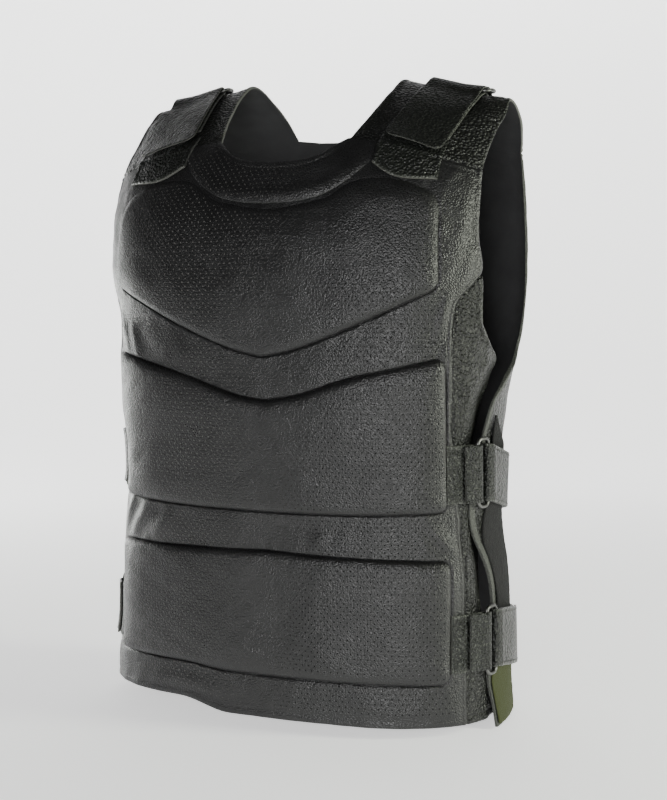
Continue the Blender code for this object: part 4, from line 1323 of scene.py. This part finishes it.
def named(tree, name, kind):
    return add_node(tree, "GeometryNodeInputNamedAttribute", {"Name": name}, data_type=kind)


def staggered_points(tree, given):
    """A flat grid of points, and each point's place in the pattern."""
    half_pitch = maths(tree, "MULTIPLY", given["Pitch"], 0.5)
    width = maths(tree, "MULTIPLY", given["Pitch"], maths(tree, "SUBTRACT", given["Columns"], 1.0))
    height = maths(tree, "MULTIPLY", given["Row Height"], maths(tree, "SUBTRACT", given["Rows"], 1.0))
    grid = add_node(tree, "GeometryNodeMeshGrid", {
        "Size X": width, "Size Y": height, "Vertices X": given["Columns"], "Vertices Y": given["Rows"]})
    spot = add_node(tree, "ShaderNodeSeparateXYZ", {0: add_node(tree, "GeometryNodeInputPosition")})
    from_bottom = maths(tree, "ADD", spot.outputs["Y"], maths(tree, "MULTIPLY", height, 0.5))
    row = maths(tree, "ROUND", maths(tree, "DIVIDE", from_bottom, given["Row Height"]))
    odd = maths(tree, "MODULO", row, 2.0)
    across = maths(tree, "ADD", spot.outputs["X"], maths(tree, "MULTIPLY", odd, half_pitch))
    along = maths(tree, "ADD", spot.outputs["Y"], given["Middle Rise"])
    return grid, add_node(tree, "ShaderNodeCombineXYZ", {"X": across, "Y": along})


def punching_tree():
    tree, given = new_tree("punched_holes", [
        ("Pitch", "NodeSocketFloat", 0.0064), ("Row Height", "NodeSocketFloat", ROW),
        ("Columns", "NodeSocketInt", 61), ("Rows", "NodeSocketInt", 125),
        ("Middle Rise", "NodeSocketFloat", HOLE_MIDDLE), ("Hole Radius", "NodeSocketFloat", 0.00072),
        ("Finish", "NodeSocketMaterial", None)])
    grid, pattern = staggered_points(tree, given)
    host, uv = given["Geometry"], named(tree, "pattern", "FLOAT_VECTOR")
    position = add_node(tree, "GeometryNodeInputPosition")
    normal = add_node(tree, "GeometryNodeInputNormal")
    punched, valid = sample_at(tree, host, "FLOAT", named(tree, "punched", "FLOAT"), uv, pattern)
    place, _ = sample_at(tree, host, "FLOAT_VECTOR", position, uv, pattern)
    out, _ = sample_at(tree, host, "FLOAT_VECTOR", normal, uv, pattern)
    blank = add_node(tree, "FunctionNodeCompare", {0: punched, 1: 0.5},
                     data_type="FLOAT", operation="LESS_THAN")
    missed = add_node(tree, "FunctionNodeBooleanMath", {0: valid}, operation="NOT")
    drop = add_node(tree, "FunctionNodeBooleanMath", {0: blank, 1: missed}, operation="OR")
    kept = add_node(tree, "GeometryNodeCaptureAttribute", {"Geometry": grid})
    for label, kind, value in (("drop", "BOOLEAN", drop), ("place", "VECTOR", place), ("out", "VECTOR", out)):
        kept.capture_items.new(kind, label)
        wire(tree, kept.inputs[label], value)
    left = add_node(tree, "GeometryNodeDeleteGeometry", {
        "Geometry": kept.outputs["Geometry"], "Selection": kept.outputs["drop"]})
    moved = add_node(tree, "GeometryNodeSetPosition", {"Geometry": left, "Position": kept.outputs["place"]})
    cone = add_node(tree, "GeometryNodeMeshCone", {
        "Vertices": 8, "Radius Top": given["Hole Radius"], "Radius Bottom": 0.0, "Depth": 0.0005},
        fill_type="NGON")
    sunk = add_node(tree, "GeometryNodeTransform", {"Geometry": cone, "Translation": (0, 0, -0.00042)})
    turned = add_node(tree, "FunctionNodeAlignRotationToVector", {"Vector": kept.outputs["out"]}, axis="Z")
    placed = add_node(tree, "GeometryNodeInstanceOnPoints", {
        "Points": moved, "Instance": sunk, "Rotation": turned})
    finish_tree(tree, placed, given["Finish"])
    return tree


PUNCHING = punching_tree()


# %% [markdown]
# The mask says where the leather is punched: the front panel between the pads but not near its
# seams and armholes, the pads but not their rounded edges, and the yoke.

# %% Run a tree and keep its result as a plain mesh
def run_tree(tree, name, mesh, settings):
    carrier = put_in_scene(name + "_source", mesh)
    modifier = carrier.modifiers.new("maker", "NODES")
    modifier.node_group = tree
    for item in tree.interface.items_tree:
        if item.in_out == "INPUT" and item.name in settings:
            modifier[item.identifier] = settings[item.name]
    graph = bpy.context.evaluated_depsgraph_get()
    result = bpy.data.meshes.new_from_object(carrier.evaluated_get(graph), depsgraph=graph)
    bpy.data.objects.remove(carrier)
    result.name = name
    return put_in_scene(name, result)


def punch(name, host, mask, middle, rows):
    """Punches a piece whose pattern grid has this mask."""
    values = np.zeros(len(host.data.vertices))
    values[:mask.size] = mask.ravel()
    host.data.attributes.new("punched", "FLOAT", "POINT").data.foreach_set("value", values)
    settings = {"Middle Rise": middle, "Rows": rows, "Finish": HOLE_PAINTED_SHADE_AND_LIGHT}
    made = run_tree(PUNCHING, name, host.data, settings)
    print(name, "faces:", len(made.data.polygons))
    return made


# %% Punch the front, the pads and the yoke
girth, rise = front_grid()
clear = np.min([-inside_pad(pad, girth, rise) for pad in PADS.values()], axis=0)
limit = np.interp(rise, [-0.62, -0.30, -0.20, -0.12], [0.190, 0.183, 0.184, 0.176])
mask = (clear > 0.0035) & (np.abs(girth) < limit) & (rise > HEM + 0.013)
mask &= (above(YOKE_SEAM, girth, rise) < -0.002) & (rise < top_of_front(girth) - 0.007)
holes = {"front_holes": punch("front_holes", front_panel, mask.astype(float), HOLE_MIDDLE, 133)}
for name, pad in PADS.items():
    girth, rise = pad_grid(pad)
    inside = inside_pad(pad, girth, rise, soft=False)
    middle = HOLE_MIDDLE + ROW * 2 * round((rise.mean() - HOLE_MIDDLE) / ROW / 2)
    holes[name] = punch(name + "_holes", pads[name], (inside > 0.0055).astype(float), middle, 51)
girth, rise = neck_yoke_grid()
mask = (above(YOKE_SEAM, girth, rise) > 0.003) & (top_of_front(girth) - rise > 0.0075)
holes["neck_yoke"] = punch("neck_yoke_holes", neck_yoke, mask.astype(float), HOLE_MIDDLE + ROW * 58, 31)

# %% [markdown]
# ## Stitches
#
# A seam is a line laid on the leather, and its stitches are short rounded bars along it. The tree
# turns the line into a curve, resamples it at the stitch pitch, and sets a bar on each point,
# turned along the line.

# %% The tree that sews
def sewing_tree():
    tree, given = new_tree("stitches", [
        ("Stitch Pitch", "NodeSocketFloat", 0.0036), ("Stitch Length", "NodeSocketFloat", 0.0025),
        ("Thread Radius", "NodeSocketFloat", 0.00032), ("Finish", "NodeSocketMaterial", None)])
    line = add_node(tree, "GeometryNodeMeshToCurve", {"Mesh": given["Geometry"]})
    spaced = add_node(tree, "GeometryNodeResampleCurve", {"Curve": line, "Length": given["Stitch Pitch"]},
                      mode="LENGTH")
    bar = add_node(tree, "GeometryNodeMeshUVSphere", {"Segments": 6, "Rings": 4, "Radius": 1.0})
    size = add_node(tree, "ShaderNodeCombineXYZ", {
        "X": maths(tree, "MULTIPLY", given["Stitch Length"], 0.5),
        "Y": given["Thread Radius"], "Z": given["Thread Radius"]})
    shaped = add_node(tree, "GeometryNodeTransform", {"Geometry": bar, "Scale": size})
    tangent = add_node(tree, "GeometryNodeInputTangent")
    turned = add_node(tree, "FunctionNodeAlignRotationToVector", {"Vector": tangent}, axis="X")
    placed = add_node(tree, "GeometryNodeInstanceOnPoints", {
        "Points": spaced, "Instance": shaped, "Rotation": turned})
    finish_tree(tree, placed, given["Finish"])
    return tree


SEWING = sewing_tree()


def sew(name, lines):
    """Sews along lines of points."""
    vertices = np.concatenate(lines)
    edges, start = [], 0
    for line in lines:
        edges += [(start + step, start + step + 1) for step in range(len(line) - 1)]
        start += len(line)
    mesh = bpy.data.meshes.new(name + "_line")
    mesh.from_pydata(vertices.tolist(), edges, [])
    made = run_tree(SEWING, name, mesh, {"Finish": THREAD})
    made.data.shade_smooth()
    bpy.data.meshes.remove(mesh)
    print(name, "stitch faces:", len(made.data.polygons))
    return made


# %% Sew the seams
def both_sides(line):
    return [line, line * np.array([-1, 1, 1])]


def front_line(girth, rise):
    """A line on the front's outer face."""
    girth, rise = np.broadcast_arrays(np.asarray(girth, float), np.asarray(rise, float))
    return on_body(girth, rise, SHELL + front_relief(girth, rise) + 0.0001)


lines = [front_line(np.linspace(-0.19, 0.19, 160), HEM + STITCH_LINE)]
arm_rise = np.linspace(GUSSET_TOP + 0.004, -0.080, 60)
lines += both_sides(front_line(smooth_curve(FRONT_SIDE, arm_rise) - STITCH_LINE, arm_rise))
side_rise = np.linspace(HEM + 0.004, GUSSET_TOP - 0.006, 140)
lines += both_sides(front_line(smooth_curve(FRONT_SIDE, side_rise) - TOPSTITCH, side_rise))
seam_girth = np.linspace(0.168, 0.200, 20)
lines += both_sides(front_line(seam_girth, straight_lines(SHOULDER_SEAM, seam_girth) - TOPSTITCH))
front_stitches = sew("front_stitches", lines)
girth = np.linspace(-0.069, 0.069, 70)
yoke_rise = smooth_curve(NECKLINE, np.abs(girth)) - STITCH_LINE
yoke_stitches = sew("neck_stitches", [on_body(girth, yoke_rise, base + YOKE_LEATHER + 0.0001)])
strap_stitches = sew("strap_stitches", STRAP_SEAMS)

# %% [markdown]
# ## Hand each piece to the frame
#
# Every piece rides on the vest's one body and stands for its solid. The front and back sheets
# print the size they were cut to.

# %% Dress the frame
def dress(made, slot, *nodes):
    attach(made, "root")
    if nodes:
        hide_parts(*nodes)


def face_area(made):
    """Area of a sheet's outer face, in square metres. The back's includes its tape."""
    return sum(polygon.area for polygon in made.data.polygons if polygon.material_index in (0, TAPE_SLOT))


def declare_sheet(made, width, length):
    area = min(face_area(made), 0.999 * width * length)
    print(made.name, "cut:", round(width, 3), "x", round(length, 3), "area", round(area, 4))


dress(front_panel, "perforated_leather", "front_panel")
dress(neck_yoke, "perforated_leather", "neck_yoke")
dress(back_panel, "pebbled_leather", "back_panel")
for name, made in pads.items():
    dress(made, "perforated_leather", name)
for label in SIDES:
    dress(shoulder_panels[label], "pebbled_leather", f"shoulder_panel_{label}")
    dress(gussets[label], "pebbled_leather", f"side_gusset_{label}")
    dress(loop_tapes[label], "loop_tape", f"loop_strip_{label}")
for name, made in {**straps, **tabs}.items():
    dress(made, "strap_leather", name)
for name, made in rings.items():
    dress(made, "ring_wire", name)
for made in (*holes.values(), front_stitches, yoke_stitches):
    dress(made, "perforated_leather")
dress(strap_stitches, "strap_leather")
declare_sheet(front_panel, 0.45, 0.60)
declare_sheet(back_panel, 0.61, 0.63)

# %% [markdown]
# ## Floor and light
#
# A pale floor that curves up into a pale backdrop, and large soft lamps. Black leather shows what
# it reflects, so the lamps' sizes and places matter more than their strength. The paper also glows
# evenly under and behind the vest, but not in front of it, where the leather would mirror it.

# %% Lay the floor
FLOOR_LEVEL = -0.6525


def studio_floor():
    """A sheet of paper, lying square to the camera and bending up behind the vest."""
    bend = np.linspace(0, math.pi / 2, 14)[1:]
    run = np.concatenate([np.linspace(-4.0, 1.6, 57), 1.6 + 0.9 * np.sin(bend), [2.5]])
    level = np.concatenate([np.zeros(57), 0.9 - 0.9 * np.cos(bend), [1.7]])
    points = np.zeros((len(run), 2, 3))
    points[..., 0] = (-4.5, 4.5)
    points[..., 1] = run[:, None]
    points[..., 2] = (level + FLOOR_LEVEL)[:, None]
    turn = np.array([[math.cos(azimuth), -math.sin(azimuth)], [math.sin(azimuth), math.cos(azimuth)]])
    points[..., :2] = points[..., :2] @ turn.T
    grid = np.arange(len(run) * 2).reshape(-1, 2)
    faces = np.stack([grid[:-1, 0], grid[:-1, 1], grid[1:, 1], grid[1:, 0]], axis=-1)
    mesh = bpy.data.meshes.new("studio_floor")
    mesh.from_pydata(points.reshape(-1, 3).tolist(), [], faces.tolist())
    mesh.shade_smooth()
    glow = np.repeat(0.82 * beyond(run, -1.0, 0.6), 2)
    mesh.attributes.new("glow", "FLOAT", "POINT").data.foreach_set("value", glow)
    paper = plain_finish("pale_floor", (0.80, 0.80, 0.80), roughness=0.8, grain=0.5, depth=0.0001,
                         specular=0.1)
    shader = paper.node_tree.nodes["Principled BSDF"]
    shader.inputs["Emission Color"].default_value = (1, 1, 1, 1)
    lit = add_node(paper.node_tree, "ShaderNodeAttribute", attribute_name="glow")
    wire(paper.node_tree, shader.inputs["Emission Strength"], lit.outputs["Fac"])
    mesh.materials.append(paper)
    made = put_in_scene("studio_floor", mesh)
    made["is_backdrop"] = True


studio_floor()

# %% Hang the lamps
LAMPS = (
    # name, place, target, width, height, watts, colour
    ("key", (0.74, -2.35, -0.28), (0.03, -0.05, -0.42), 0.62, 1.10, 47, (1, 1, 1)),
    ("left_side", (-1.80, 0.60, -0.42), (0.0, -0.05, -0.45), 0.6, 0.45, 13, (0.97, 1.0, 0.95)),
    ("right_side", (1.85, 0.20, 0.00), (0.0, -0.05, -0.35), 0.45, 0.9, 37, (0.95, 1.0, 0.84)),
    ("behind", (-0.80, 2.05, 1.45), (-0.30, 0.40, -0.65), 2.2, 0.9, 8, (1, 1, 1)),
    ("backdrop", (-0.68, 1.45, 1.10), (-1.10, 2.36, 0.20), 3.2, 0.8, 50, (1, 1, 1)),
)
for name, place, target, width, height, watts, colour in LAMPS:
    lamp = bpy.data.lights.new(name, "AREA")
    lamp.shape = "RECTANGLE"
    lamp.size, lamp.size_y = width, height
    lamp.energy = watts
    lamp.color = colour
    made = put_in_scene(name, lamp)
    made.location = place
    made.rotation_euler = (Vector(target) - Vector(place)).to_track_quat("-Z", "Y").to_euler()
world = bpy.data.worlds.new("studio")
world.use_nodes = True
world.node_tree.nodes["Background"].inputs["Color"].default_value = (1, 1, 1, 1)
world.node_tree.nodes["Background"].inputs["Strength"].default_value = 0.08
bpy.context.scene.world = world

# %% Measure the whole and finish
visual_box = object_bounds()
for axis, low, high in zip("XYZ", visual_box[0], visual_box[1]):
    print(axis, round(low, 4), round(high, 4))
